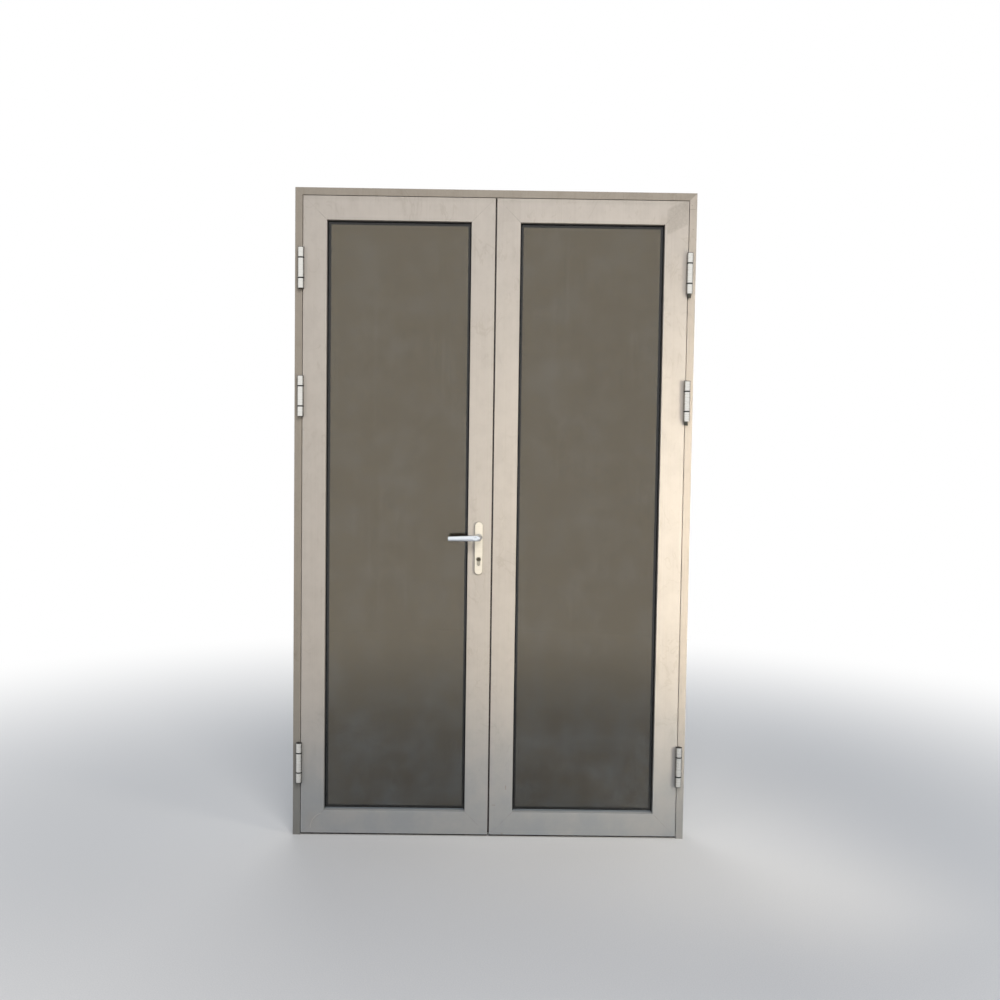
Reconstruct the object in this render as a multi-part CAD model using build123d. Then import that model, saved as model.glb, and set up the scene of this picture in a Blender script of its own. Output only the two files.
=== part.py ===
from build123d import *
import os

# A double-leaf aluminium entrance door in its own frame, seen from outside.
# X runs to the right, Y runs into the building, Z runs up, all in millimetres.
# The origin is at the bottom centre of the frame, in the middle of the leaf depth.

# Frame: two jambs and a head, mitred at the top, with a stop behind the leaves
FRAME_WIDTH = 1520.0
FRAME_HEIGHT = 2488.0
JAMB_FACE = 28.0
FRAME_DEPTH = 75.0
WALL = 2.0
STOP_LIP = 18.0
STOP_GAP = 3.0
STOP_WALL = 6.0
SMALL_ARRIS = 1.0

# Leaves: four mitred members each, opening outwards
LEAF_DEPTH = 56.0
MEMBER_WIDTH = 90.0
FLANGE = 19.0
FLANGE_DEPTH = 20.0
FLANGE_BACK_WALL = 5.0
JOINT = 2.0
MEETING_GAP = 6.0
LEAF_BOTTOM = 8.0
ARRIS = 1.6
REAR_RELIEF = 1.5
EDGE_WALL = 4.0

# Grooves that run round the edges of every member
HARDWARE_GROOVE = 24.6
HARDWARE_GROOVE_DEPTH = 3.0
HARDWARE_SIDE_PLAY = 0.3
PILE_GROOVE = 6.0
PILE_GROOVE_DEPTH = 5.0
PILE_GROOVE_INSET = 6.0
PILE_PLAY = 0.3
MEETING_PILE = 2.95
BOTTOM_PILE = 6.0

# Double glazing and its seals
GLASS_CLEARANCE = 7.0
PANE = 6.0
PANE_GAP = 8.0
SPACER_HEIGHT = 24.0
OUTER_GASKET = 4.0
INNER_GASKET = 3.0
GASKET_BITE = 10.0
GASKET_LIP = 5.0
GASKET_ROOT = 3.0
GASKET_ROOT_DEPTH = 3.4
BEAD_RIB = 2.0
BEAD_RIB_HEIGHT = 3.0
BEAD_PLAY = 0.25
BLOCK_LENGTH = 100.0
BLOCK_INSET = 90.0

# Seal between the leaves and the stop
STOP_SEAL_INSET = 6.0
STOP_SEAL_ROOT = 5.6
STOP_SEAL_ROOT_DEPTH = 4.0
STOP_SEAL_WIDTH = 8.0
REST_GAP = 0.3

# Corner cleats that hold the mitres
CLEAT_ARM = 120.0
CLEAT_WEB = 18.0
CLEAT_RIM = 8.0
CLEAT_PLAY = 0.3
FRAME_CLEAT_ARM = 100.0

# Barrel hinges, three to a leaf
LOW_HINGE_RISE = 280.0
MIDDLE_HINGE_DROP = 756.0
TOP_HINGE_DROP = 273.0
BARREL_RADIUS = 12.0
BARREL_CLEARANCE = 0.3
HINGE_OFFSET = 4.0
END_KNUCKLE = 35.5
MIDDLE_KNUCKLE = 71.2
WASHER = 4.5
WASHER_PLAY = 0.3
HINGE_CAP = 1.8
PIN_RADIUS = 6.0
PIN_PLAY = 0.05
CAP_PLUG = 3.0
SLIPPED_PIN = 14.0
WING = 1.6
WING_OVERLAP = 8.0
HINGE_SCREW_OFFSET = 45.0

# Screws
SCREW_RADIUS = 2.5
SCREW_PLAY = 0.1
SCREW_HEAD_RADIUS = 4.8
SCREW_HEAD = 2.4
SCREW_LENGTH = 18.0

# Holes for fixing the frame to the wall, through each jamb
FIXING_RADIUS = 4.25
LOW_FIXINGS = (120.0, 780.0)
HIGH_FIXINGS = (988.0, 108.0)

# Lever handle on both faces of the active leaf
SPINDLE_INSET = 47.5
SPINDLE_HEIGHT = 1171.0
SPINDLE_SIZE = 8.0
SPINDLE_PLAY = 0.1
SPINDLE_GRIP = 12.0
PLATE_WIDTH = 33.0
PLATE_HEIGHT = 205.0
PLATE_DEPTH = 7.0
PLATE_EDGE = 3.0
PLATE_DROP = 42.4
PLATE_SCREW_INSET = 9.5
BOSS_RADIUS = 4.5
BOSS_LENGTH = 14.0
BEARING_RADIUS = 9.0
BEARING_PLAY = 0.1
LEVER_PLAY = 0.3
COLLAR_RADIUS = 14.3
COLLAR_HEIGHT = 9.0
NECK_HALF_WIDTH = 10.8
NECK_HALF_HEIGHT = 12.2
LEVER_STANDOFF = 44.0
ELBOW_RADIUS = 12.0
LEVER_LENGTH = 117.5
TIP_HALF_HEIGHT = 9.3
TIP_HALF_DEPTH = 7.5
TIP_DROP = 2.5
TIP_ROUNDING = 5.0
DIMPLE_RADIUS = 26.0
DIMPLE_DEPTH = 2.8
DIMPLE_REACH = 12.0

# Mortice lock in the active leaf
CYLINDER_DROP = 85.0
CASE_BEHIND_SPINDLE = 16.0
CASE_BELOW_SPINDLE = 127.0
CASE_ABOVE_SPINDLE = 42.0
CASE_THICKNESS = 15.0
CASE_WALL = 1.5
CASE_PLAY = 0.5
FACEPLATE_HEIGHT = 250.0
FACEPLATE_SCREW_INSET = 10.0
FOLLOWER_RADIUS = 11.0
FOLLOWER_THICKNESS = 11.0
FOLLOWER_ARM = 15.0
LATCH_RISE = 28.0
LATCH_HEIGHT = 22.0
LATCH_THICKNESS = 10.5
LATCH_LENGTH = 42.0
LATCH_BEVEL = 10.0
BOLT_RISE = 34.0
BOLT_HEIGHT = 32.0
BOLT_THICKNESS = 10.0
BOLT_LENGTH = 47.0
BOLT_SET_BACK = 0.3
BOLT_PLAY = 0.3
STRIKE_PLAY = 1.0

# Profile cylinder
CYLINDER_RADIUS = 8.5
CYLINDER_LOBE = 10.0
CYLINDER_HEIGHT = 33.0
CYLINDER_PROUD = 1.0
CYLINDER_PLAY = 0.4
CUT_OUT_PLAY = 1.0
PLUG_RADIUS = 7.0
PLUG_PLAY = 0.06
PLUG_PROUD = 0.4
CAM_HALF = 4.8
CAM_RADIUS = 13.4
CAM_WIDTH = 7.0
CAM_CLEARANCE = 0.5
KEYWAY_WIDTH = 2.2
KEYWAY_HEIGHT = 8.0
KEYWAY_DEPTH = 18.0
CYLINDER_SCREW_DROP = 19.5

# Flush bolts at the top and bottom of the passive leaf
ROD_RADIUS = 4.0
ROD_INSET = 16.0
ROD_PLAY = 0.5
ROD_SET_BACK = 1.0
ROD_LENGTH = 180.0
ROD_THROW = 20.0
SLIDE_START = 144.0
SLIDE_LENGTH = 24.0
SLIDE_THICKNESS = 8.0
SLIDE_PLAY = 2.0
SLIDE_SET_BACK = 0.4
BOLT_PLATE_START = 66.0
BOLT_PLATE_LENGTH = 160.0
KEEPER_LENGTH = 50.0

# Places that follow from the sizes above
FRONT = -LEAF_DEPTH / 2
BACK = LEAF_DEPTH / 2
FRAME_BACK = FRONT + FRAME_DEPTH
STOP_FRONT = BACK + STOP_GAP
FRAME_EDGE = FRAME_WIDTH / 2
LEAF_EDGE = FRAME_EDGE - JAMB_FACE - JOINT
LEAF_TOP = FRAME_HEIGHT - JAMB_FACE - JOINT
MEETING_EDGE = MEETING_GAP / 2
LEAF_WIDTH = LEAF_EDGE - MEETING_EDGE
LEAF_HEIGHT = LEAF_TOP - LEAF_BOTTOM
REBATE = MEMBER_WIDTH - FLANGE
FLANGE_BACK = FRONT + FLANGE_DEPTH
GLASS_FRONT = FLANGE_BACK + OUTER_GASKET
GLASS_BACK = GLASS_FRONT + 2 * PANE + PANE_GAP
BEAD_FRONT = GLASS_BACK + INNER_GASKET
GLASS_EDGE = REBATE + GLASS_CLEARANCE
CHAMBER_EDGE = HARDWARE_GROOVE_DEPTH + EDGE_WALL
PILE_FRONT = FRONT + PILE_GROOVE_INSET
PILE_BACK = PILE_FRONT + PILE_GROOVE
HALF_GROOVE = HARDWARE_GROOVE / 2
HALF_HARDWARE = HALF_GROOVE - HARDWARE_SIDE_PLAY
AXIS_X = FRAME_EDGE - JAMB_FACE + HINGE_OFFSET - JOINT / 2
AXIS_Y = FRONT - BARREL_RADIUS - BARREL_CLEARANCE
KNUCKLE_GAP = WASHER + 2 * WASHER_PLAY
BARREL_HALF = MIDDLE_KNUCKLE / 2 + KNUCKLE_GAP + END_KNUCKLE
SPINDLE_X = -MEETING_EDGE - SPINDLE_INSET
CYLINDER_Z = SPINDLE_HEIGHT - CYLINDER_DROP
PLATE_CENTRE = SPINDLE_HEIGHT - PLATE_DROP
CASE_BOTTOM = SPINDLE_HEIGHT - CASE_BELOW_SPINDLE
CASE_TOP = SPINDLE_HEIGHT + CASE_ABOVE_SPINDLE
PLATE_FACE = FRONT - PLATE_DEPTH
FACE_X = MEETING_EDGE + HARDWARE_GROOVE_DEPTH
LATCH_Z = SPINDLE_HEIGHT + LATCH_RISE
BOLT_Z = CYLINDER_Z + BOLT_RISE
ROD_X = MEETING_EDGE + ROD_INSET
PLATE_SCREWS = (
    PLATE_CENTRE - PLATE_HEIGHT / 2 + PLATE_SCREW_INSET,
    PLATE_CENTRE + PLATE_HEIGHT / 2 - PLATE_SCREW_INSET,
)
FACEPLATE_SCREWS = (
    PLATE_CENTRE - FACEPLATE_HEIGHT / 2 + FACEPLATE_SCREW_INSET,
    PLATE_CENTRE + FACEPLATE_HEIGHT / 2 - FACEPLATE_SCREW_INSET,
)
MIDDLE_HINGE = LEAF_TOP - MIDDLE_HINGE_DROP
TOP_HINGE = LEAF_TOP - TOP_HINGE_DROP
HINGE_HEIGHTS = (LEAF_BOTTOM + LOW_HINGE_RISE, MIDDLE_HINGE, TOP_HINGE)
SLIPPED_PINS = (MIDDLE_HINGE, TOP_HINGE)
FIXING_HEIGHTS = LOW_FIXINGS + tuple(FRAME_HEIGHT - drop for drop in HIGH_FIXINGS)
FAR = FRAME_DEPTH * 2


def block(x0, x1, y0, y1, z0, z1):
    centre = ((x0 + x1) / 2, (y0 + y1) / 2, (z0 + z1) / 2)
    return Pos(*centre) * Box(abs(x1 - x0), abs(y1 - y0), abs(z1 - z0))


def rectangle(u0, u1, v0, v1):
    return Pos((u0 + u1) / 2, (v0 + v1) / 2) * Rectangle(abs(u1 - u0), abs(v1 - v0))


def outline(points):
    return make_face(Polyline(*points, close=True))


def bar_x(x0, x1, y, z, radius):
    return Pos((x0 + x1) / 2, y, z) * Rot(0, 90, 0) * Cylinder(radius, abs(x1 - x0))


def bar_y(y0, y1, x, z, radius):
    return Pos(x, (y0 + y1) / 2, z) * Rot(90, 0, 0) * Cylinder(radius, abs(y1 - y0))


def bar_z(z0, z1, x, y, radius):
    return Pos(x, y, (z0 + z1) / 2) * Cylinder(radius, abs(z1 - z0))


def across(shape):
    return mirror(shape, about=Plane.YZ)


def inside_out(shape):
    return mirror(shape, about=Plane.XZ)


def group(*shapes):
    return Compound([solid for shape in shapes for solid in shape.solids()])


def rounded(section, corners, radius):
    near = 0.01
    picked = [
        vertex
        for vertex in section.vertices()
        if any(abs(vertex.X - u) + abs(vertex.Y - v) < near for u, v in corners)
    ]
    return fillet(picked, radius)


def member(section, length, corner, inward, along, first_mitred=True, last_mitred=True):
    """One length of a profile. The section has u inwards from the outer edge and v in depth."""
    reach = section.bounding_box().max.X
    first = reach if first_mitred else 0
    last = reach if last_mitred else 0
    side = outline([(0, 0), (reach, first), (reach, length - last), (0, length)])
    cut = extrude(Plane.XZ * side, amount=FAR, both=True)
    return placed(extrude(section, length) & cut, corner, inward, along)


def placed(shape, corner, inward, along):
    return Plane(origin=corner, x_dir=inward, z_dir=along).location * shape


def four_members(section):
    """The hinge stile, top rail, meeting stile and bottom rail of the left leaf, mitred."""
    left = -LEAF_EDGE
    right = -MEETING_EDGE
    return [
        member(section, LEAF_HEIGHT, (left, 0, LEAF_BOTTOM), (1, 0, 0), (0, 0, 1)),
        member(section, LEAF_WIDTH, (left, 0, LEAF_TOP), (0, 0, -1), (1, 0, 0)),
        member(section, LEAF_HEIGHT, (right, 0, LEAF_TOP), (-1, 0, 0), (0, 0, -1)),
        member(section, LEAF_WIDTH, (right, 0, LEAF_BOTTOM), (0, 0, 1), (-1, 0, 0)),
    ]


def three_members(section):
    """The left jamb, the head and the right jamb, mitred at the top and square at the foot."""
    left = (-FRAME_EDGE, 0, 0)
    top = (-FRAME_EDGE, 0, FRAME_HEIGHT)
    right = (FRAME_EDGE, 0, FRAME_HEIGHT)
    return [
        member(section, FRAME_HEIGHT, left, (1, 0, 0), (0, 0, 1), first_mitred=False),
        member(section, FRAME_WIDTH, top, (0, 0, -1), (1, 0, 0)),
        member(section, FRAME_HEIGHT, right, (-1, 0, 0), (0, 0, -1), last_mitred=False),
    ]


def one_piece(members):
    whole = members[0]
    for piece in members[1:]:
        whole = whole + piece
    return whole


# Screws, all countersunk

def screw(length=SCREW_LENGTH, radius=SCREW_RADIUS):
    """A screw with its head's face at the origin and its shank along +Z."""
    head = Pos(0, 0, SCREW_HEAD / 2) * Cone(SCREW_HEAD_RADIUS, radius, SCREW_HEAD)
    shank = Pos(0, 0, length / 2) * Cylinder(radius, length)
    return head + shank


def screw_hole(length=SCREW_LENGTH, radius=SCREW_RADIUS):
    wide = radius + SCREW_PLAY
    head = Pos(0, 0, SCREW_HEAD / 2) * Cone(SCREW_HEAD_RADIUS + SCREW_PLAY, wide, SCREW_HEAD)
    shank = Pos(0, 0, length / 2) * Cylinder(wide, length + 2 * SCREW_PLAY)
    return head + shank


def driven(shape, point, direction):
    """A screw or its hole, put with its head's face at a point."""
    return Plane(origin=point, z_dir=direction).location * shape


# Frame profiles

def frame_section():
    groove = JAMB_FACE - HARDWARE_GROOVE_DEPTH
    lip = JAMB_FACE + STOP_LIP
    section = outline([
        (0, FRONT), (JAMB_FACE, FRONT), (JAMB_FACE, -HALF_GROOVE), (groove, -HALF_GROOVE),
        (groove, HALF_GROOVE), (JAMB_FACE, HALF_GROOVE), (JAMB_FACE, STOP_FRONT),
        (lip, STOP_FRONT), (lip, FRAME_BACK), (0, FRAME_BACK),
    ])
    section = rounded(section, [(0, FRONT), (JAMB_FACE, FRONT), (lip, FRAME_BACK)], SMALL_ARRIS)
    chamber = rectangle(WALL, groove - WALL, FRONT + WALL, FRAME_BACK - WALL)
    hollow_lip = rectangle(groove, lip - WALL, STOP_FRONT + STOP_WALL, FRAME_BACK - WALL)
    seal = JAMB_FACE + STOP_SEAL_INSET
    seal_groove = rectangle(seal, seal + STOP_SEAL_ROOT, STOP_FRONT, STOP_FRONT + STOP_SEAL_ROOT_DEPTH)
    return section - chamber - hollow_lip - seal_groove


def stop_seal_section():
    middle = JAMB_FACE + STOP_SEAL_INSET + STOP_SEAL_ROOT / 2
    half_root = STOP_SEAL_ROOT / 2 - PILE_PLAY
    half = STOP_SEAL_WIDTH / 2
    tip = BACK + REST_GAP
    root = STOP_FRONT + STOP_SEAL_ROOT_DEPTH - PILE_PLAY
    return outline([
        (middle - half, STOP_FRONT), (middle - half_root, tip), (middle + half_root, tip),
        (middle + half, STOP_FRONT), (middle + half_root, STOP_FRONT),
        (middle + half_root, root), (middle - half_root, root), (middle - half_root, STOP_FRONT),
    ])


def frame_parts():
    left, head, right = three_members(frame_section())
    groove_x = FRAME_EDGE - JAMB_FACE
    for height in FIXING_HEIGHTS:
        left -= bar_x(-FRAME_EDGE, -groove_x, 0, height, FIXING_RADIUS)
        right -= bar_x(FRAME_EDGE, groove_x, 0, height, FIXING_RADIUS)
    for height in HINGE_HEIGHTS:
        left -= frame_hinge_holes(height)
        right -= across(frame_hinge_holes(height))
    underside = FRAME_HEIGHT - JAMB_FACE
    floor = underside + HARDWARE_GROOVE_DEPTH
    head -= bar_z(floor, floor + WALL, ROD_X, 0, ROD_RADIUS + 2 * ROD_PLAY)
    keeper = block(
        ROD_X - KEEPER_LENGTH / 2, ROD_X + KEEPER_LENGTH / 2,
        -HALF_HARDWARE, HALF_HARDWARE, underside, floor,
    )
    keeper -= bar_z(underside, floor, ROD_X, 0, ROD_RADIUS + ROD_PLAY)
    screws = []
    for step in (-1, 1):
        place = (ROD_X + step * (KEEPER_LENGTH / 2 - FACEPLATE_SCREW_INSET), 0, underside)
        screws.append(driven(screw(), place, (0, 0, 1)))
        keeper -= driven(screw_hole(), place, (0, 0, 1))
        head -= driven(screw_hole(), place, (0, 0, 1))
    seal = one_piece(three_members(stop_seal_section()))
    return {
        "left_jamb": left,
        "right_jamb": right,
        "head": head,
        "frame_corner_cleats": frame_cleats(),
        "frame_stop_gasket": seal,
        "top_bolt_keeper": keeper,
    }, screws


def frame_cleats():
    near = WALL + CLEAT_PLAY
    far = JAMB_FACE - HARDWARE_GROOVE_DEPTH - WALL - CLEAT_PLAY
    arms = outline([
        (near, near), (FRAME_CLEAT_ARM, near), (FRAME_CLEAT_ARM, far),
        (far, far), (far, FRAME_CLEAT_ARM), (near, FRAME_CLEAT_ARM),
    ])
    depth = FRAME_DEPTH - 2 * WALL - 2 * CLEAT_PLAY
    flat = Plane(origin=(-FRAME_EDGE, FRONT + WALL + CLEAT_PLAY, FRAME_HEIGHT), x_dir=(1, 0, 0), z_dir=(0, 1, 0))
    cleat = flat.location * extrude(arms, depth)
    return group(cleat, across(cleat))


# Hinges, made for the left side and mirrored for the right

def frame_wing_points():
    """The fixed half in plan: the jamb's side, the neck's other face and the groove's floor."""
    jamb_side = -(FRAME_EDGE - JAMB_FACE)
    foot = jamb_side - HARDWARE_GROOVE_DEPTH
    return jamb_side, jamb_side + WING, foot


def leaf_wing_points():
    leaf_side = -LEAF_EDGE
    foot = leaf_side + HARDWARE_GROOVE_DEPTH
    return leaf_side, leaf_side - WING, foot


def wing(seat, foot, z0, z1):
    return block(foot, seat, -HALF_HARDWARE, HALF_HARDWARE, z0, z1)


def knuckle(z0, z1, seat, outer):
    """A knuckle and the thin neck that lies in the joint, over the wing."""
    ring = bar_z(z0, z1, -AXIS_X, AXIS_Y, BARREL_RADIUS)
    neck = block(seat, outer, AXIS_Y, HALF_HARDWARE, z0, z1)
    return ring + neck


def bore(z0, z1):
    return bar_z(z0, z1, -AXIS_X, AXIS_Y, PIN_RADIUS + PIN_PLAY)


def frame_half(height):
    seat, outer, foot = frame_wing_points()
    low = height - BARREL_HALF
    high = height + BARREL_HALF
    half = wing(seat, foot, low, high)
    half += knuckle(low, low + END_KNUCKLE, seat, outer)
    half += knuckle(high - END_KNUCKLE, high, seat, outer)
    half -= bore(low, high)
    return half - frame_hinge_holes(height)


def leaf_half(height):
    seat, outer, foot = leaf_wing_points()
    reach = MIDDLE_KNUCKLE / 2 + KNUCKLE_GAP + END_KNUCKLE - WING_OVERLAP
    half = wing(seat, foot, height - reach, height + reach)
    half += knuckle(height - MIDDLE_KNUCKLE / 2, height + MIDDLE_KNUCKLE / 2, seat, outer)
    half -= bore(height - reach, height + reach)
    return half - leaf_hinge_holes(height)


def hinge_screw_places(height):
    return [height - HINGE_SCREW_OFFSET, height + HINGE_SCREW_OFFSET]


def frame_hinge_screws(height, shape):
    outer = frame_wing_points()[1]
    return [driven(shape, (outer, 0, z), (-1, 0, 0)) for z in hinge_screw_places(height)]


def leaf_hinge_screws(height, shape):
    seat = leaf_wing_points()[0]
    return [driven(shape, (seat, 0, z), (1, 0, 0)) for z in hinge_screw_places(height)]


def frame_hinge_holes(height):
    return group(*frame_hinge_screws(height, screw_hole()))


def leaf_hinge_holes(height):
    return group(*leaf_hinge_screws(height, screw_hole()))


def hinge_washers(height):
    rings = []
    for side in (-1, 1):
        middle = height + side * (MIDDLE_KNUCKLE + KNUCKLE_GAP) / 2
        ring = bar_z(middle - WASHER / 2, middle + WASHER / 2, -AXIS_X, AXIS_Y, BARREL_RADIUS)
        rings.append(ring - bore(middle - WASHER, middle + WASHER))
    return rings


def hinge_cap(height, side):
    """The cover at one end of a barrel, with a short plug in the bore."""
    end = height + side * BARREL_HALF
    disc = bar_z(end, end + side * HINGE_CAP, -AXIS_X, AXIS_Y, BARREL_RADIUS)
    disc = chamfer(disc.edges().group_by(Axis.Z)[-1 if side > 0 else 0], HINGE_CAP / 2)
    return disc + bar_z(end, end - side * CAP_PLUG, -AXIS_X, AXIS_Y, PIN_RADIUS)


def hinge_pin(height, slipped):
    low = height - BARREL_HALF + CAP_PLUG
    high = height + BARREL_HALF - CAP_PLUG
    drop = CAP_PLUG + HINGE_CAP + SLIPPED_PIN if slipped else 0
    return bar_z(low - drop, high - drop, -AXIS_X, AXIS_Y, PIN_RADIUS)


def hinge_parts():
    heights = HINGE_HEIGHTS
    washers = [ring for height in heights for ring in hinge_washers(height)]
    pins = [hinge_pin(height, False) for height in heights]
    pins += [across(hinge_pin(height, height in SLIPPED_PINS)) for height in heights]
    caps = [hinge_cap(height, side) for height in heights for side in (-1, 1)]
    for height in heights:
        caps.append(across(hinge_cap(height, 1)))
        if height not in SLIPPED_PINS:
            caps.append(across(hinge_cap(height, -1)))
    halves = group(*[frame_half(height) for height in heights])
    screws = [item for height in heights for item in frame_hinge_screws(height, screw())]
    return {
        "left_hinge_frame_halves": halves,
        "right_hinge_frame_halves": across(halves),
        "hinge_washers": group(*washers, *[across(ring) for ring in washers]),
        "hinge_pins": group(*pins),
        "hinge_caps": group(*caps),
    }, screws + [across(item) for item in screws]


# Leaf profiles

def leaf_section():
    groove = HARDWARE_GROOVE_DEPTH
    section = outline([
        (0, FRONT), (MEMBER_WIDTH, FRONT), (MEMBER_WIDTH, FLANGE_BACK), (REBATE, FLANGE_BACK),
        (REBATE, BACK), (REAR_RELIEF, BACK), (REAR_RELIEF, HALF_GROOVE), (groove, HALF_GROOVE),
        (groove, -HALF_GROOVE), (0, -HALF_GROOVE),
    ])
    section = rounded(section, [(0, FRONT), (MEMBER_WIDTH, FRONT)], ARRIS)
    section -= rectangle(0, PILE_GROOVE_DEPTH, PILE_FRONT, PILE_BACK)
    section -= rectangle(CHAMBER_EDGE, REBATE - WALL, FRONT + WALL, BACK - WALL)
    section -= rectangle(REBATE, MEMBER_WIDTH - WALL, FRONT + WALL, FLANGE_BACK - FLANGE_BACK_WALL)
    section -= rectangle(
        MEMBER_WIDTH - GASKET_BITE + GASKET_ROOT / 2, MEMBER_WIDTH - GASKET_BITE + 1.5 * GASKET_ROOT,
        FLANGE_BACK - GASKET_ROOT_DEPTH, FLANGE_BACK,
    )
    rib = BEAD_FRONT + BEAD_RIB
    return section + rectangle(REBATE, REBATE + BEAD_RIB_HEIGHT, rib, rib + BEAD_RIB)


def bead_section():
    rib = BEAD_FRONT + BEAD_RIB
    section = rectangle(REBATE, MEMBER_WIDTH, BEAD_FRONT, BACK)
    section = rounded(section, [(MEMBER_WIDTH, BACK)], ARRIS)
    return section - rectangle(
        REBATE, REBATE + BEAD_RIB_HEIGHT + BEAD_PLAY, rib - BEAD_PLAY, rib + BEAD_RIB + BEAD_PLAY
    )


def outer_gasket_section():
    start = MEMBER_WIDTH - GASKET_BITE
    lip = MEMBER_WIDTH + GASKET_LIP
    root0 = start + GASKET_ROOT / 2 + PILE_PLAY / 2
    root1 = start + 1.5 * GASKET_ROOT - PILE_PLAY / 2
    root_back = FLANGE_BACK - GASKET_ROOT_DEPTH + PILE_PLAY
    return outline([
        (start, FLANGE_BACK), (root0, FLANGE_BACK), (root0, root_back), (root1, root_back),
        (root1, FLANGE_BACK), (MEMBER_WIDTH, FLANGE_BACK), (lip, GLASS_FRONT - OUTER_GASKET / 3),
        (lip, GLASS_FRONT), (start, GLASS_FRONT),
    ])


def inner_gasket_section():
    start = MEMBER_WIDTH - GASKET_BITE
    lip = MEMBER_WIDTH + GASKET_LIP
    return outline([
        (start, GLASS_BACK), (lip, GLASS_BACK), (lip, GLASS_BACK + INNER_GASKET / 3),
        (MEMBER_WIDTH, BEAD_FRONT), (start, BEAD_FRONT),
    ])


def pile_section(height):
    """A pile seal: its carrier in the groove and the pile that stands out of it."""
    floor = PILE_GROOVE_DEPTH - PILE_PLAY
    shoulder = PILE_GROOVE_DEPTH / 2
    front = PILE_FRONT + PILE_PLAY
    back = PILE_BACK - PILE_PLAY
    slim = 2 * PILE_PLAY
    return outline([
        (floor, front), (shoulder, front), (shoulder, front + slim), (-height, front + slim),
        (-height, back - slim), (shoulder, back - slim), (shoulder, back), (floor, back),
    ])


def pile(height, length, start_z, inward, along):
    """A pile seal along the meeting edge or the foot of the left leaf."""
    return placed(extrude(pile_section(height), length), (-MEETING_EDGE, 0, start_z), inward, along)


def pane(front):
    left = -LEAF_EDGE + GLASS_EDGE
    right = -MEETING_EDGE - GLASS_EDGE
    low = LEAF_BOTTOM + GLASS_EDGE
    high = LEAF_TOP - GLASS_EDGE
    return block(left, right, front, front + PANE, low, high)


def edge_spacer():
    front = GLASS_FRONT + PANE
    section = rectangle(GLASS_EDGE, GLASS_EDGE + SPACER_HEIGHT, front, front + PANE_GAP)
    return one_piece(four_members(section))


def setting_blocks():
    low = LEAF_BOTTOM + REBATE
    blocks = []
    for start in (-LEAF_EDGE + GLASS_EDGE + BLOCK_INSET, -MEETING_EDGE - GLASS_EDGE - BLOCK_INSET - BLOCK_LENGTH):
        blocks.append(block(start, start + BLOCK_LENGTH, GLASS_FRONT, GLASS_BACK, low, low + GLASS_CLEARANCE))
    return group(*blocks)


def leaf_cleat(corner, toward_x, toward_z):
    """An L of cast aluminium in the chambers of two members, with two pockets."""
    near = CHAMBER_EDGE + CLEAT_PLAY
    far = REBATE - WALL - CLEAT_PLAY
    pocket = rectangle(far, CLEAT_ARM - CLEAT_RIM, near + CLEAT_WEB, far - CLEAT_RIM)
    arms = outline([
        (near, near), (CLEAT_ARM, near), (CLEAT_ARM, far), (far, far), (far, CLEAT_ARM), (near, CLEAT_ARM),
    ])
    other_pocket = rectangle(near + CLEAT_WEB, far - CLEAT_RIM, far, CLEAT_ARM - CLEAT_RIM)
    depth = LEAF_DEPTH - 2 * WALL - 2 * CLEAT_PLAY
    solid = Rot(90, 0, 0) * extrude(arms - pocket - other_pocket, depth / 2, both=True)
    if toward_x < 0:
        solid = mirror(solid, about=Plane.YZ)
    if toward_z < 0:
        solid = mirror(solid, about=Plane.XY)
    return Pos(*corner) * solid


def leaf_cleats():
    left = -LEAF_EDGE
    right = -MEETING_EDGE
    rod = bar_z(LEAF_BOTTOM, LEAF_TOP, -ROD_X, 0, ROD_RADIUS + ROD_PLAY)
    return group(
        leaf_cleat((left, 0, LEAF_BOTTOM), 1, 1),
        leaf_cleat((left, 0, LEAF_TOP), 1, -1),
        leaf_cleat((right, 0, LEAF_BOTTOM), -1, 1) - rod,
        leaf_cleat((right, 0, LEAF_TOP), -1, -1) - rod,
    )


def plain_leaf():
    """Everything that the two leaves share, made for the left one."""
    hinge_stile, top_rail, meeting_stile, bottom_rail = four_members(leaf_section())
    for height in HINGE_HEIGHTS:
        hinge_stile -= leaf_hinge_holes(height)
    halves = group(*[leaf_half(height) for height in HINGE_HEIGHTS])
    upright = LEAF_HEIGHT - PILE_GROOVE_DEPTH
    return {
        "hinge_stile": hinge_stile,
        "top_rail": top_rail,
        "meeting_stile": meeting_stile,
        "bottom_rail": bottom_rail,
        "corner_cleats": leaf_cleats(),
        "hinge_halves": halves,
        "outer_pane": pane(GLASS_FRONT),
        "inner_pane": pane(GLASS_BACK - PANE),
        "edge_spacer": edge_spacer(),
        "glazing_beads": group(*four_members(bead_section())),
        "outer_gasket": one_piece(four_members(outer_gasket_section())),
        "inner_gasket": one_piece(four_members(inner_gasket_section())),
        "setting_blocks": setting_blocks(),
        "meeting_pile": pile(MEETING_PILE, upright, LEAF_TOP, (-1, 0, 0), (0, 0, -1)),
        "bottom_pile": pile(BOTTOM_PILE, LEAF_WIDTH, LEAF_BOTTOM, (0, 0, 1), (-1, 0, 0)),
    }


def leaf_screws():
    return [item for height in HINGE_HEIGHTS for item in leaf_hinge_screws(height, screw())]


# Lock, handle and cylinder of the active leaf

def cylinder_profile(play):
    """The keyhole-shaped section of the lock cylinder, round the plug's axis."""
    radius = CYLINDER_RADIUS + play
    half = CYLINDER_LOBE / 2 + play
    bottom = CYLINDER_RADIUS - CYLINDER_HEIGHT + CYLINDER_LOBE / 2
    return Circle(radius) + rectangle(-half, half, bottom, 0) + Pos(0, bottom) * Circle(half)


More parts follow.
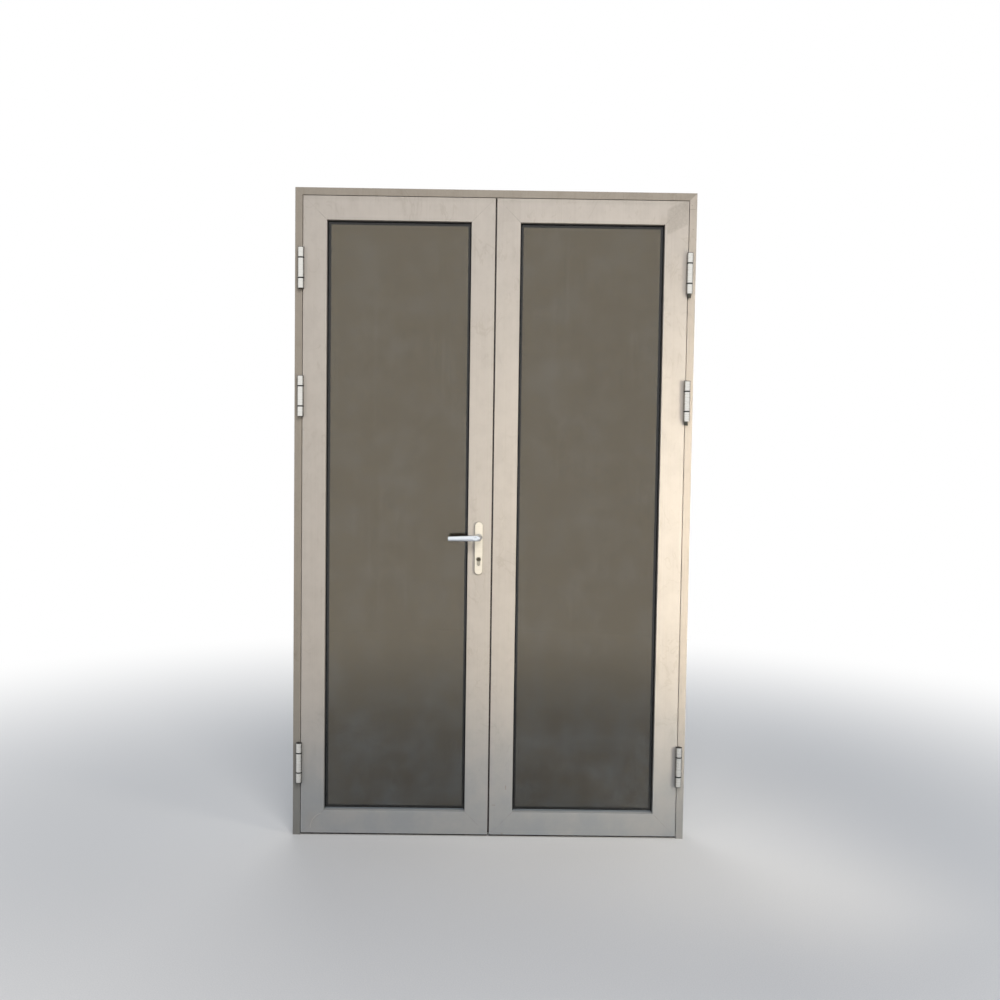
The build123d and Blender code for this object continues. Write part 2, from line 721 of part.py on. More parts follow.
def cylinder_bar(play, y0, y1):
    plane = Plane(origin=(SPINDLE_X, y1, CYLINDER_Z), x_dir=(1, 0, 0), z_dir=(0, -1, 0))
    return plane.location * extrude(cylinder_profile(play), y1 - y0)


def lock_stile(stile):
    """Holes and slots in the meeting stile for the lock and the handles."""
    half_case = CASE_THICKNESS / 2 + CASE_PLAY
    inner = -MEETING_EDGE - CHAMBER_EDGE
    stile -= block(
        -FACE_X, inner, -half_case, half_case, CASE_BOTTOM - CASE_PLAY, CASE_TOP + CASE_PLAY
    )
    stile -= bar_y(FRONT, BACK, SPINDLE_X, SPINDLE_HEIGHT, BEARING_RADIUS + CASE_PLAY)
    stile -= cylinder_bar(CYLINDER_PLAY, FRONT, BACK)
    for z in PLATE_SCREWS:
        stile -= bar_y(FRONT, FRONT + WALL, SPINDLE_X, z, BOSS_RADIUS + CASE_PLAY)
        stile -= bar_y(BACK - WALL, BACK, SPINDLE_X, z, SCREW_RADIUS + CASE_PLAY)
    for z in FACEPLATE_SCREWS:
        stile -= driven(screw_hole(), (-MEETING_EDGE, 0, z), (-1, 0, 0))
    return stile


def lock_case():
    front = -FACE_X
    rear = SPINDLE_X - CASE_BEHIND_SPINDLE
    half = CASE_THICKNESS / 2
    case = block(rear, front, -half, half, CASE_BOTTOM, CASE_TOP)
    case -= block(
        rear + CASE_WALL, front, CASE_WALL - half, half - CASE_WALL,
        CASE_BOTTOM + CASE_WALL, CASE_TOP - CASE_WALL,
    )
    case -= bar_y(-half, half, SPINDLE_X, SPINDLE_HEIGHT, BEARING_RADIUS)
    return case - cylinder_bar(CYLINDER_PLAY, -half, half)


def edge_plate(windows):
    """A plate in the hardware groove of the active leaf, with windows and two screw holes."""
    low = PLATE_CENTRE - FACEPLATE_HEIGHT / 2
    plate = block(-FACE_X, -MEETING_EDGE, -HALF_HARDWARE, HALF_HARDWARE, low, low + FACEPLATE_HEIGHT)
    for z in FACEPLATE_SCREWS:
        plate -= driven(screw_hole(), (-MEETING_EDGE, 0, z), (-1, 0, 0))
    for half_width, z0, z1 in windows:
        plate -= block(-FACE_X, -MEETING_EDGE, -half_width, half_width, z0, z1)
    return plate


def bolt_windows(play):
    return [
        (LATCH_THICKNESS / 2 + play, LATCH_Z - LATCH_HEIGHT / 2 - play, LATCH_Z + LATCH_HEIGHT / 2 + play),
        (BOLT_THICKNESS / 2 + play, BOLT_Z - BOLT_HEIGHT / 2 - play, BOLT_Z + BOLT_HEIGHT / 2 + play),
    ]


def cylinder_screw_place():
    return (-MEETING_EDGE, 0, CYLINDER_Z - CYLINDER_SCREW_DROP)


def cylinder_screw_length():
    return SPINDLE_INSET + CYLINDER_LOBE / 2


def latch_bolt():
    nose = -MEETING_EDGE - BOLT_SET_BACK
    half = LATCH_THICKNESS / 2
    plan = outline([
        (nose, -half), (nose - LATCH_BEVEL, half), (nose - LATCH_LENGTH, half), (nose - LATCH_LENGTH, -half),
    ])
    return Pos(0, 0, LATCH_Z - LATCH_HEIGHT / 2) * extrude(plan, LATCH_HEIGHT)


def dead_bolt():
    nose = -MEETING_EDGE - BOLT_SET_BACK
    half = BOLT_THICKNESS / 2
    return block(nose - BOLT_LENGTH, nose, -half, half, BOLT_Z - BOLT_HEIGHT / 2, BOLT_Z + BOLT_HEIGHT / 2)


def follower():
    """The hub that the spindle turns, with an arm for the latch."""
    half = FOLLOWER_THICKNESS / 2
    hub = bar_y(-half, half, SPINDLE_X, SPINDLE_HEIGHT, FOLLOWER_RADIUS)
    arm = block(
        SPINDLE_X - FOLLOWER_ARM + CASE_WALL, SPINDLE_X, -half, half,
        SPINDLE_HEIGHT - SPINDLE_SIZE / 2, SPINDLE_HEIGHT + SPINDLE_SIZE / 2,
    )
    return hub + arm - spindle_bar(SPINDLE_PLAY, half)


def spindle_bar(play, reach):
    half = SPINDLE_SIZE / 2 + play
    return block(
        SPINDLE_X - half, SPINDLE_X + half, -reach, reach, SPINDLE_HEIGHT - half, SPINDLE_HEIGHT + half
    )


def escutcheon():
    """The outer handle plate: round-ended, softly edged, with holes for lever and cylinder."""
    plane = Plane(origin=(SPINDLE_X, FRONT, PLATE_CENTRE), x_dir=(1, 0, 0), z_dir=(0, -1, 0))
    blank = extrude(SlotOverall(PLATE_HEIGHT, PLATE_WIDTH, rotation=90), PLATE_DEPTH)
    blank = fillet(blank.edges().group_by(Axis.Z)[-1], PLATE_EDGE)
    plate = plane.location * blank
    plate -= bar_y(FRONT, PLATE_FACE, SPINDLE_X, SPINDLE_HEIGHT, BEARING_RADIUS)
    return plate - cylinder_bar(CUT_OUT_PLAY, PLATE_FACE, FRONT)


def outer_plate():
    plate = escutcheon()
    for z in PLATE_SCREWS:
        boss = bar_y(FRONT, FRONT + BOSS_LENGTH, SPINDLE_X, z, BOSS_RADIUS)
        plate += boss - bar_y(FRONT, FRONT + BOSS_LENGTH, SPINDLE_X, z, SCREW_RADIUS + SCREW_PLAY)
    return plate


def inner_plate():
    plate = inside_out(escutcheon())
    for place in plate_screw_places():
        plate -= driven(screw_hole(), place, (0, -1, 0))
    return plate


def plate_screw_places():
    return [(SPINDLE_X, -PLATE_FACE, z) for z in PLATE_SCREWS]


def plate_screw_length():
    return PLATE_DEPTH + LEAF_DEPTH - BOSS_LENGTH / 4


def lever():
    """The outer lever, made on end: the spindle along Z, the grip along X, both from the origin."""
    oval = Ellipse(NECK_HALF_WIDTH, NECK_HALF_HEIGHT)
    bend = LEVER_STANDOFF - ELBOW_RADIUS
    shoulder = LEVER_PLAY + COLLAR_HEIGHT
    collar = loft([Pos(0, 0, LEVER_PLAY) * Circle(COLLAR_RADIUS), Pos(0, 0, shoulder) * oval])
    neck = Pos(0, 0, shoulder) * extrude(oval, bend - shoulder)
    elbow = revolve(Pos(0, 0, bend) * oval, Axis((ELBOW_RADIUS, 0, bend), (0, 1, 0)), 90)
    start = Plane(origin=(ELBOW_RADIUS, 0, LEVER_STANDOFF), x_dir=(0, 1, 0), z_dir=(1, 0, 0))
    end = Plane(origin=(LEVER_LENGTH, TIP_DROP, LEVER_STANDOFF), x_dir=(0, 1, 0), z_dir=(1, 0, 0))
    root = start * Ellipse(NECK_HALF_HEIGHT, NECK_HALF_WIDTH)
    grip = loft([root, end * Ellipse(TIP_HALF_HEIGHT, TIP_HALF_DEPTH)])
    grip = fillet(grip.faces().sort_by(Axis.X)[-1].edges(), TIP_ROUNDING)
    journal = Pos(0, 0, (LEVER_PLAY - PLATE_DEPTH) / 2) * Cylinder(
        BEARING_RADIUS - BEARING_PLAY, PLATE_DEPTH + LEVER_PLAY
    )
    face = LEVER_STANDOFF + NECK_HALF_WIDTH - DIMPLE_DEPTH
    dimple = Pos(DIMPLE_REACH, 0, face + DIMPLE_RADIUS) * Sphere(DIMPLE_RADIUS)
    side = SPINDLE_SIZE + 2 * SPINDLE_PLAY
    socket = Pos(0, 0, (SPINDLE_GRIP - PLATE_DEPTH) / 2) * Box(side, side, SPINDLE_GRIP + PLATE_DEPTH)
    return collar + neck + elbow + grip + journal - dimple - socket


def outer_lever():
    place = Plane(origin=(SPINDLE_X, PLATE_FACE, SPINDLE_HEIGHT), x_dir=(-1, 0, 0), z_dir=(0, -1, 0))
    return place.location * lever()


def cylinder_housing():
    end = -PLATE_FACE + CYLINDER_PROUD
    housing = cylinder_bar(0, -end, end)
    housing -= bar_y(-end, end, SPINDLE_X, CYLINDER_Z, PLUG_RADIUS + PLUG_PLAY)
    reach = CAM_RADIUS + CAM_CLEARANCE
    gap = CAM_HALF + CAM_CLEARANCE
    housing -= bar_y(-gap, gap, SPINDLE_X, CYLINDER_Z, reach)
    x, y, z = cylinder_screw_place()
    return housing - bar_x(SPINDLE_X - CYLINDER_LOBE, SPINDLE_X + CYLINDER_LOBE, y, z, SCREW_RADIUS + SCREW_PLAY)


def cylinder_plugs():
    """The outer and inner plugs and the cam between them, which turn as one."""
    end = -PLATE_FACE + CYLINDER_PROUD + PLUG_PROUD
    near = CAM_HALF
    outer = bar_y(-end, -near, SPINDLE_X, CYLINDER_Z, PLUG_RADIUS)
    half_key = KEYWAY_WIDTH / 2
    outer -= block(
        SPINDLE_X - half_key, SPINDLE_X + half_key, -end, -end + KEYWAY_DEPTH,
        CYLINDER_Z - KEYWAY_HEIGHT / 2, CYLINDER_Z + KEYWAY_HEIGHT / 2,
    )
    cam = bar_y(-near, near, SPINDLE_X, CYLINDER_Z, PLUG_RADIUS + CAM_CLEARANCE)
    nose = block(
        SPINDLE_X - CAM_WIDTH / 2, SPINDLE_X + CAM_WIDTH / 2, -near, near, CYLINDER_Z, CYLINDER_Z + CAM_RADIUS
    )
    cam += nose & bar_y(-near, near, SPINDLE_X, CYLINDER_Z, CAM_RADIUS)
    return group(outer, cam, inside_out(outer))


def lock_parts():
    windows = bolt_windows(BOLT_PLAY)
    x, y, z = cylinder_screw_place()
    faceplate = edge_plate(windows)
    faceplate -= driven(screw_hole(), (x, y, z), (-1, 0, 0))
    return {
        "lock_case": lock_case(),
        "lock_faceplate": faceplate,
        "outer_handle_plate": outer_plate(),
        "inner_handle_plate": inner_plate(),
        "cylinder_housing": cylinder_housing(),
        "outer_lever": outer_lever(),
        "inner_lever": inside_out(outer_lever()),
        "spindle": spindle_bar(0, -PLATE_FACE + SPINDLE_GRIP - LEVER_PLAY),
        "lock_follower": follower(),
        "latch_bolt": latch_bolt(),
        "dead_bolt": dead_bolt(),
        "cylinder_plugs": cylinder_plugs(),
    }


def lock_screws():
    screws = [driven(screw(), (-MEETING_EDGE, 0, z), (-1, 0, 0)) for z in FACEPLATE_SCREWS]
    screws += [driven(screw(plate_screw_length()), place, (0, -1, 0)) for place in plate_screw_places()]
    screws.append(driven(screw(cylinder_screw_length()), cylinder_screw_place(), (-1, 0, 0)))
    return screws


# Strike plate and flush bolts of the passive leaf, on the right

def strike_plate():
    return across(edge_plate(bolt_windows(STRIKE_PLAY)))


def strike_holes():
    """What the passive stile loses behind the strike plate."""
    inner = MEETING_EDGE + CHAMBER_EDGE
    holes = [block(FACE_X, inner, -half, half, z0, z1) for half, z0, z1 in bolt_windows(STRIKE_PLAY)]
    holes += [across(driven(screw_hole(), (-MEETING_EDGE, 0, z), (-1, 0, 0))) for z in FACEPLATE_SCREWS]
    return group(*holes)


def from_end(distance, top):
    """A height, counted inwards from the top or the bottom of the leaf."""
    return LEAF_TOP - distance if top else LEAF_BOTTOM + distance


def flush_bolt(top):
    rod = bar_z(
        from_end(ROD_SET_BACK, top), from_end(ROD_SET_BACK + ROD_LENGTH, top), ROD_X, 0, ROD_RADIUS
    )
    half = SLIDE_THICKNESS / 2
    slide = block(
        MEETING_EDGE + SLIDE_SET_BACK, ROD_X, -half, half,
        from_end(SLIDE_START, top), from_end(SLIDE_START + SLIDE_LENGTH, top),
    )
    return rod + slide


def slide_slot(x0, x1, top):
    half = SLIDE_THICKNESS / 2 + HARDWARE_SIDE_PLAY
    return block(
        x0, x1, -half, half,
        from_end(SLIDE_START - ROD_THROW - SLIDE_PLAY, top),
        from_end(SLIDE_START + SLIDE_LENGTH + SLIDE_PLAY, top),
    )


def short_screw(shape):
    """A screw, or its hole, that ends in the profile's edge wall, clear of the rod."""
    return shape(CHAMBER_EDGE)


def bolt_plate_screw_places(top):
    ends = (BOLT_PLATE_START + FACEPLATE_SCREW_INSET, BOLT_PLATE_START + BOLT_PLATE_LENGTH - FACEPLATE_SCREW_INSET)
    return [(MEETING_EDGE, 0, from_end(end, top)) for end in ends]


def flush_bolt_plate(top):
    plate = block(
        MEETING_EDGE, FACE_X, -HALF_HARDWARE, HALF_HARDWARE,
        from_end(BOLT_PLATE_START, top), from_end(BOLT_PLATE_START + BOLT_PLATE_LENGTH, top),
    )
    plate -= slide_slot(MEETING_EDGE, FACE_X, top)
    for place in bolt_plate_screw_places(top):
        plate -= driven(short_screw(screw_hole), place, (1, 0, 0))
    return plate


def passive_stile(stile):
    stile -= strike_holes()
    for top in (False, True):
        stile -= slide_slot(FACE_X, MEETING_EDGE + CHAMBER_EDGE, top)
        for place in bolt_plate_screw_places(top):
            stile -= driven(short_screw(screw_hole), place, (1, 0, 0))
    return stile


def rod_hole(top):
    return bar_z(
        from_end(HARDWARE_GROOVE_DEPTH, top), from_end(CHAMBER_EDGE, top), ROD_X, 0, ROD_RADIUS + ROD_PLAY
    )


def passive_screws():
    screws = [across(driven(screw(), (-MEETING_EDGE, 0, z), (-1, 0, 0))) for z in FACEPLATE_SCREWS]
    for top in (False, True):
        screws += [driven(short_screw(screw), place, (1, 0, 0)) for place in bolt_plate_screw_places(top)]
    return screws


def build():
    nodes, frame_screws = frame_parts()
    hinge_nodes, hinge_screws = hinge_parts()
    nodes.update(hinge_nodes)
    nodes["frame_screws"] = group(*frame_screws, *hinge_screws)
    for name, shape in plain_leaf().items():
        nodes["active_" + name] = shape
        nodes["passive_" + name] = across(shape)
    nodes["active_meeting_stile"] = lock_stile(nodes["active_meeting_stile"])
    nodes["passive_meeting_stile"] = passive_stile(nodes["passive_meeting_stile"])
    nodes["passive_top_rail"] -= rod_hole(True)
    nodes["passive_bottom_rail"] -= rod_hole(False)
    nodes.update(lock_parts())
    nodes["strike_plate"] = strike_plate()
    nodes["flush_bolt_plates"] = group(flush_bolt_plate(True), flush_bolt_plate(False))
    nodes["top_flush_bolt"] = flush_bolt(True)
    nodes["bottom_flush_bolt"] = flush_bolt(False)
    nodes["active_leaf_screws"] = group(*leaf_screws(), *lock_screws())
    nodes["passive_leaf_screws"] = group(*[across(item) for item in leaf_screws()], *passive_screws())
    return nodes


os.makedirs("parts", exist_ok=True)
for node, shape in build().items():
    export_step(shape, f"parts/{node}.step")
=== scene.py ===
import math

import bmesh
import bpy
from mathutils import Matrix, Vector


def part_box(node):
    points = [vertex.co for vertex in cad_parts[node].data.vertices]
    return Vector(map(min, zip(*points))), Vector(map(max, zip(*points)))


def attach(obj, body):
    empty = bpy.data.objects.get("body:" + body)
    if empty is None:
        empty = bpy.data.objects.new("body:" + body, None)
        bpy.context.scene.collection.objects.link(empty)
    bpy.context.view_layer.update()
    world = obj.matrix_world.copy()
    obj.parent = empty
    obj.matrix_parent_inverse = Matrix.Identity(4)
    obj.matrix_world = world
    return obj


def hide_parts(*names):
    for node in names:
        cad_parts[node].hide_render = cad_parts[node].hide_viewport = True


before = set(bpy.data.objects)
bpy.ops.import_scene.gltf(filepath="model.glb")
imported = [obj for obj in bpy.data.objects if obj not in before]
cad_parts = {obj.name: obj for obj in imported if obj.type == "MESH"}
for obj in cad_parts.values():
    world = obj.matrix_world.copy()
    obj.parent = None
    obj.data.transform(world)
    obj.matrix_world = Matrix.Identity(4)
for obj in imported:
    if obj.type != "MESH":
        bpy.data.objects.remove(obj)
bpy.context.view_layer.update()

bl_info = {
    "name": "Glass Entrance Door",
    "version": (1, 0, 0),
    "blender": (4, 5, 0),
    "location": "3D View > Sidebar > Door",
    "description": "Finishes a double-leaf aluminium entrance door and its studio",
    "category": "Object",
}

MM = 0.001
SHARP_ANGLE = math.radians(35)
FLAT_ANGLE = math.radians(1)
SAME_POINT = 0.001 * MM
SAME_FACE = 0.01 * MM

# Pieces by the finish that they share
LEAVES = ("active", "passive")
COATED_LEAF_PARTS = ("hinge_stile", "top_rail", "meeting_stile", "bottom_rail")
HINGE_HALVES = {
    "left_hinge_frame_halves": "frame",
    "right_hinge_frame_halves": "frame",
    "active_hinge_halves": "active_leaf",
    "passive_hinge_halves": "passive_leaf",
}

# Places that the frame gives, in metres
LEAF_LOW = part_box("passive_meeting_stile")[0]
LEAF_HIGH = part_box("passive_hinge_stile")[1]
FRAME_HALF_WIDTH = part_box("right_jamb")[1].x
FRAME_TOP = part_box("head")[1].z
OUTER_FACE_BACK = LEAF_LOW.y + MM

# Marks of wear and of painted shade on the outer faces: x, z, half width, half height and softness in
# millimetres, strength, slope
LEAF_MARKS = (
    (688, 2398, 44, 52, 9, 0.42, 0.5),  # greyer patch in the top right corner
    (0, 2458, 760, 24, 24, 0.22, 0.0),  # painted shade along the upper edge of both leaves
    (51, 2412, 42.5, 42, 1.5, 0.08, 0.0),  # faint square in the right leaf's top left corner
    (66, 195, 2.6, 9, 1.6, 0.8, 0.0),  # three scuffs at the right leaf's foot
    (20, 125, 7, 2.2, 1.4, 0.8, 0.0),
    (54, 12, 4.5, 3.5, 1.6, 0.8, 0.0),
    (-690, 60, 30, 50, 40, 0.25, 0.0),  # darker patch at the left leaf's foot
)
FRAME_MARKS = (
    (740.9, 2442.3, 2.4, 2.0, 1.2, 1.0, 0.0),  # two spots and a line at the top of the right jamb
    (746.8, 2352.6, 2.2, 2.4, 1.2, 1.0, 0.0),
    (743.8, 2427.0, 11.4, 1.0, 0.6, 0.9, 0.0),
    (-746, 30, 15, 60, 60, 0.9, 0.0),  # darker patch at the left jamb's foot
)

# Dried splashes on the panes: x, z, half width and half height in millimetres, and a depth behind them all
GLASS_MARKS = ((600, 2315, 40, 35), (-130, 2240, 40, 110), (-120, 900, 25, 500), (-590, 170, 45, 60))
SPLASH_SOFTNESS = 20 * MM
BEHIND_PANES = 1.0

# The curved scratch at the left leaf's foot, in metres
SCRATCH = {
    "Centre_X": -0.632, "Centre_Z": 0.029, "Radius": 0.060, "Low_Z": 0.026, "High_Z": 0.087, "Width": MM,
}
SCRATCH_STRENGTH = 0.7

# Shares of the coat's red, green and blue on each part, and where it is worn, soiled or under painted shade
LEAF_TINT = (1, 1, 1)
# Painted shade: the head and the left jamb are darker than the right jamb
PAINTED_SHADE_TINT = (0.64, 0.62, 0.58)
RIGHT_JAMB_TINT = (0.9, 0.88, 0.85)
MOTTLED = (0.9, 0.9, 0.9)
STAINED = (0.76, 0.74, 0.70)
# Painted cool shade at the foot, mottled like dust
FOOT_SHADE = (0.60, 0.69, 0.80)
SOILED_AND_SHADED = (0.52, 0.50, 0.47)
IN_JOINT = (0.35, 0.35, 0.35)
SCRATCHED = (1.25, 1.25, 1.25)
JOINT_STRENGTH = 0.8

# Wear, and painted cool shade at the foot, on the coat in the order of its layers: its mask, strength and
# shares
COAT_WEAR_AND_SHADE = (("Streak", 0.35, STAINED), ("Smear", 0.4, STAINED), ("Speck", 0.6, SOILED_AND_SHADED), ("Foot shade", 1.0, FOOT_SHADE))

# Dust, and the painted shade at the coat's foot: how high they reach in metres, and the dust's eight-bit
# colours
DUST_AND_FOOT_SHADE_TOP = 0.75
RUBBER_DUST = (128, 136, 142)
GLASS_DUST = (158, 162, 166)

# Grain and depth of the surfaces, in metres
PEEL_GRAIN = 1.4 * MM
PEEL_DEPTH = 0.03 * MM
BRUSHED_DEPTH = 0.004 * MM
MOULDED_GRAIN = 0.8 * MM
MOULDED_DEPTH = 0.04 * MM
GLASS_WAVE_DEPTH = 0.8 * MM

METAL_EDGE_TINT = (0.45, 0.45, 0.47, 1.0)
GLASS_IOR = 1.6

# Painted shade on the metal, in metres from a plate's rim and in shares of a barrel's radius
PAINTED_SHADE_SHARES = (0.3, 0.3, 0.3)
RIM_SHADE_FROM = 3.4 * MM
RIM_SHADE_FULL = 0.6 * MM
RIM_SHADE_STRENGTH = 0.75
BARREL_SHADE_FROM = 0.55
BARREL_SHADE_FULL = 0.9

# Screws and tufts, in metres and shares
SCREW_HEAD_WIDTH = 9.6 * MM
SCREW_HEAD_HEIGHT = 2.4 * MM
SCREW_SHANK_RADIUS = 2.5 * MM
TUFTED_SHARE = 0.6
MEETING_SEED = 10
BOTTOM_SEED = 20

# The floor and where it fades to white, in metres, and its eight-bit colours
FLOOR_REACH = 30.0
FADE_START = 1.3
FADE_END = 4.5
FLOOR_GREY = (214, 215, 216)
FLOOR_PALE = (222, 222, 222)
FLOOR_BOUNCE = (100, 101, 102)

# Lamps: place, target and size in metres, power in watts, colour and spread in degrees
LAMPS = {
    "key": ((0.6, -3.6, 3.9), (0.05, 0, 1.4), (1.8, 1.8), 112, (255, 251, 246), 180),
    "right": ((1.75, -1.3, 1.2), (0.72, 0, 1.1), (0.7, 1.6), 12, (255, 244, 224), 80),
    "left": ((-2.6, -3.2, 1.8), (-0.5, 0, 1.5), (1.8, 1.8), 26, (255, 243, 226), 180),
    "back": ((-0.8, 3.4, 3.0), (0, 0, 1.2), (2.4, 2.0), 60, (255, 252, 246), 180),
}
SKY = (206, 218, 236)
SKY_STRENGTH = 0.42

# The photograph's viewpoint in metres, its angles, its lens in millimetres and what it frames
EYE = Vector((-0.004, -4.239, 1.5687))
LOOKS_DOWN = math.radians(3.078)
TURNED_RIGHT = math.radians(0.441)
TILTED = math.radians(0.81)
LENS = 39.6
SENSOR_WIDTH = 36
PHOTO_PIXELS = 1000
CENTRE_ABOVE_MIDDLE = 7


def linear(*screen):
    """A linear colour from the eight-bit numbers that a screen shows."""
    shares = [number / 255 for number in screen]
    return tuple(((s + 0.055) / 1.055) ** 2.4 if s > 0.04045 else s / 12.92 for s in shares)


def toned(colour, shares):
    """A colour with each channel scaled by its share, and none past full."""
    return tuple(min(1.0, channel * share) for channel, share in zip(colour, shares))


# Settings that a user would change

class DoorSizes(bpy.types.PropertyGroup):
    """Sizes of the finishing work, all in metres."""
    arris: bpy.props.FloatProperty(
        name="Metal arris", description="Width of the broken edge on hinges and handle", default=0.4 * MM,
        unit="LENGTH",
    )
    tuft_pitch: bpy.props.FloatProperty(
        name="Tuft pitch", description="Distance between two tufts of a pile seal", default=1.6 * MM,
        unit="LENGTH",
    )
    mitre_line: bpy.props.FloatProperty(
        name="Mitre line", description="Width of the hairline joint at each corner", default=3.2 * MM,
        unit="LENGTH",
    )
    carrier: bpy.props.FloatProperty(
        name="Seal carrier", description="Thickness of the strip that holds the tufts", default=2.2 * MM,
        unit="LENGTH",
    )
    fin: bpy.props.FloatProperty(
        name="Seal fin", description="Thickness of the film that stands between the tufts", default=0.4 * MM,
        unit="LENGTH",
    )
    recess_width: bpy.props.FloatProperty(
        name="Recess width", description="Width of each slot of a screw's cross recess", default=1.0 * MM,
        unit="LENGTH",
    )
    recess_depth: bpy.props.FloatProperty(
        name="Recess depth", description="Depth of a screw's cross recess", default=1.5 * MM,
        unit="LENGTH",
    )


class DoorColours(bpy.types.PropertyGroup):
    """Main colours of the door."""
    coat: bpy.props.FloatVectorProperty(
        name="Powder coat", description="Pale warm grey of the frame and leaves", subtype="COLOR",
        size=3, default=linear(194, 187, 179),
    )
    glass: bpy.props.FloatVectorProperty(
        name="Outer glass", description="Tint of the outer panes", subtype="COLOR",
        size=3, default=linear(103, 92, 74),
    )
    rubber: bpy.props.FloatVectorProperty(
        name="Rubber", description="Colour of the glazing seals", subtype="COLOR",
        size=3, default=linear(16, 16, 17),
    )
    hinge: bpy.props.FloatVectorProperty(
        name="Hinge metal", description="Colour of the hinge knuckles", subtype="COLOR",
        size=3, default=linear(238, 236, 230),
    )
    # The plates' warm cream is a painted reflection of a warm floor on pale silver metal
    plate: bpy.props.FloatVectorProperty(
        name="Handle plate", description="Colour of the handle plates", subtype="COLOR",
        size=3, default=linear(246, 238, 222),
    )
    lever: bpy.props.FloatVectorProperty(
        name="Lever", description="Colour of the levers", subtype="COLOR",
        size=3, default=linear(238, 243, 249),
    )


# Node trees

class Graph:
    """Short ways to add and join nodes in one tree."""

    def __init__(self, tree):
        self.tree = tree

    def add(self, kind, **settings):
        node = self.tree.nodes.new(kind)
        for name, value in settings.items():
            setattr(node, name, value)
        return node

    def feed(self, socket, value):
        """Links a socket, or sets the socket's own value."""
        if isinstance(value, bpy.types.NodeSocket):
            self.tree.links.new(value, socket)
        elif value is not None:
            socket.default_value = value

    def made(self, kind, values, **settings):
        """A new node with its inputs fed by name or number."""
        node = self.add(kind, **settings)
        for name, value in values.items():
            self.feed(node.inputs[name], value)
        return node

    def math(self, operation, first, second=None, clamp=False):
        node = self.add("ShaderNodeMath", operation=operation, use_clamp=clamp)
        self.feed(node.inputs[0], first)
        self.feed(node.inputs[1], second)
        return node.outputs[0]

    def product(self, first, *others, clamp=False):
        for other in others:
            first = self.math("MULTIPLY", first, other, clamp)
        return first

    def difference(self, first, second):
        return self.math("SUBTRACT", first, second)

    def apart(self, first, second):
        """How far two values are from each other."""
        return self.math("ABSOLUTE", self.difference(first, second))

    def distance(self, across, along):
        """The straight distance of two offsets at right angles."""
        squares = (self.math("POWER", offset, 2.0) for offset in (across, along))
        return self.math("SQRT", self.math("ADD", *squares))

    def scaled(self, value, low, high, to_low=0.0, to_high=1.0):
        """A value taken smoothly from one range to another, and held at its ends."""
        node = self.add("ShaderNodeMapRange", interpolation_type="SMOOTHSTEP")
        for socket, given in zip(node.inputs, (value, low, high, to_low, to_high)):
            self.feed(socket, given)
        return node.outputs[0]

    def mix(self, factor, first, second):
        """A mix of two colours, by the node's factor and its pair of colour sockets."""
        node = self.made("ShaderNodeMix", {0: factor}, data_type="RGBA", blend_type="MIX", clamp_factor=True)
        for socket, value in zip(node.inputs[6:8], (first, second)):
            self.feed(socket, value if isinstance(value, bpy.types.NodeSocket) else (*value, 1.0))
        return node.outputs[2]

    def place(self, scale=(1, 1, 1)):
        """The point on the object, scaled along each axis."""
        point = self.add("ShaderNodeTexCoord").outputs["Object"]
        return self.made("ShaderNodeMapping", {"Vector": point, "Scale": scale}).outputs[0]

    def axes(self):
        """The point on the object as X, Y and Z."""
        point = self.add("ShaderNodeTexCoord").outputs["Object"]
        return self.made("ShaderNodeSeparateXYZ", {0: point}).outputs

    def noise(self, where, scale, detail=2.0, roughness=0.5, distortion=0.0):
        return self.made("ShaderNodeTexNoise", {
            "Vector": where, "Scale": scale, "Detail": detail, "Roughness": roughness,
            "Distortion": distortion,
        }).outputs[0]

    def effect(self, group, **values):
        """The outputs of a shared group, with its inputs fed by name."""
        named = {name.replace("_", " "): value for name, value in values.items()}
        return self.made("ShaderNodeGroup", named, node_tree=group).outputs

    def bump(self, height, distance, strength):
        return self.made("ShaderNodeBump", {
            "Height": height, "Distance": distance, "Strength": strength,
        }).outputs[0]


def open_tree(name, kind, inputs, outputs):
    """A new node group's graph, what goes in and what comes out, each by name."""
    tree = bpy.data.node_groups.new(name, kind)
    for direction, sockets in (("INPUT", inputs), ("OUTPUT", outputs)):
        for title, socket_type in sockets.items():
            tree.interface.new_socket(title, in_out=direction, socket_type=socket_type)
    given = tree.nodes.new("NodeGroupInput").outputs
    return Graph(tree), given, tree.nodes.new("NodeGroupOutput").inputs


def effect_group(name, inputs, outputs):
    """An empty shader group whose sockets are all numbers."""
    return open_tree(
        name, "ShaderNodeTree",
        {title: "NodeSocketFloat" for title in inputs}, {title: "NodeSocketFloat" for title in outputs},
    )


def orange_peel():
    """The fine waviness of sprayed powder, as a height."""
    graph, given, result = effect_group("Orange peel", ("Grain size",), ("Height",))
    size = graph.math("DIVIDE", 1.0, given["Grain size"])
    graph.feed(result["Height"], graph.noise(graph.place(), size, 1.5))
    return graph.tree


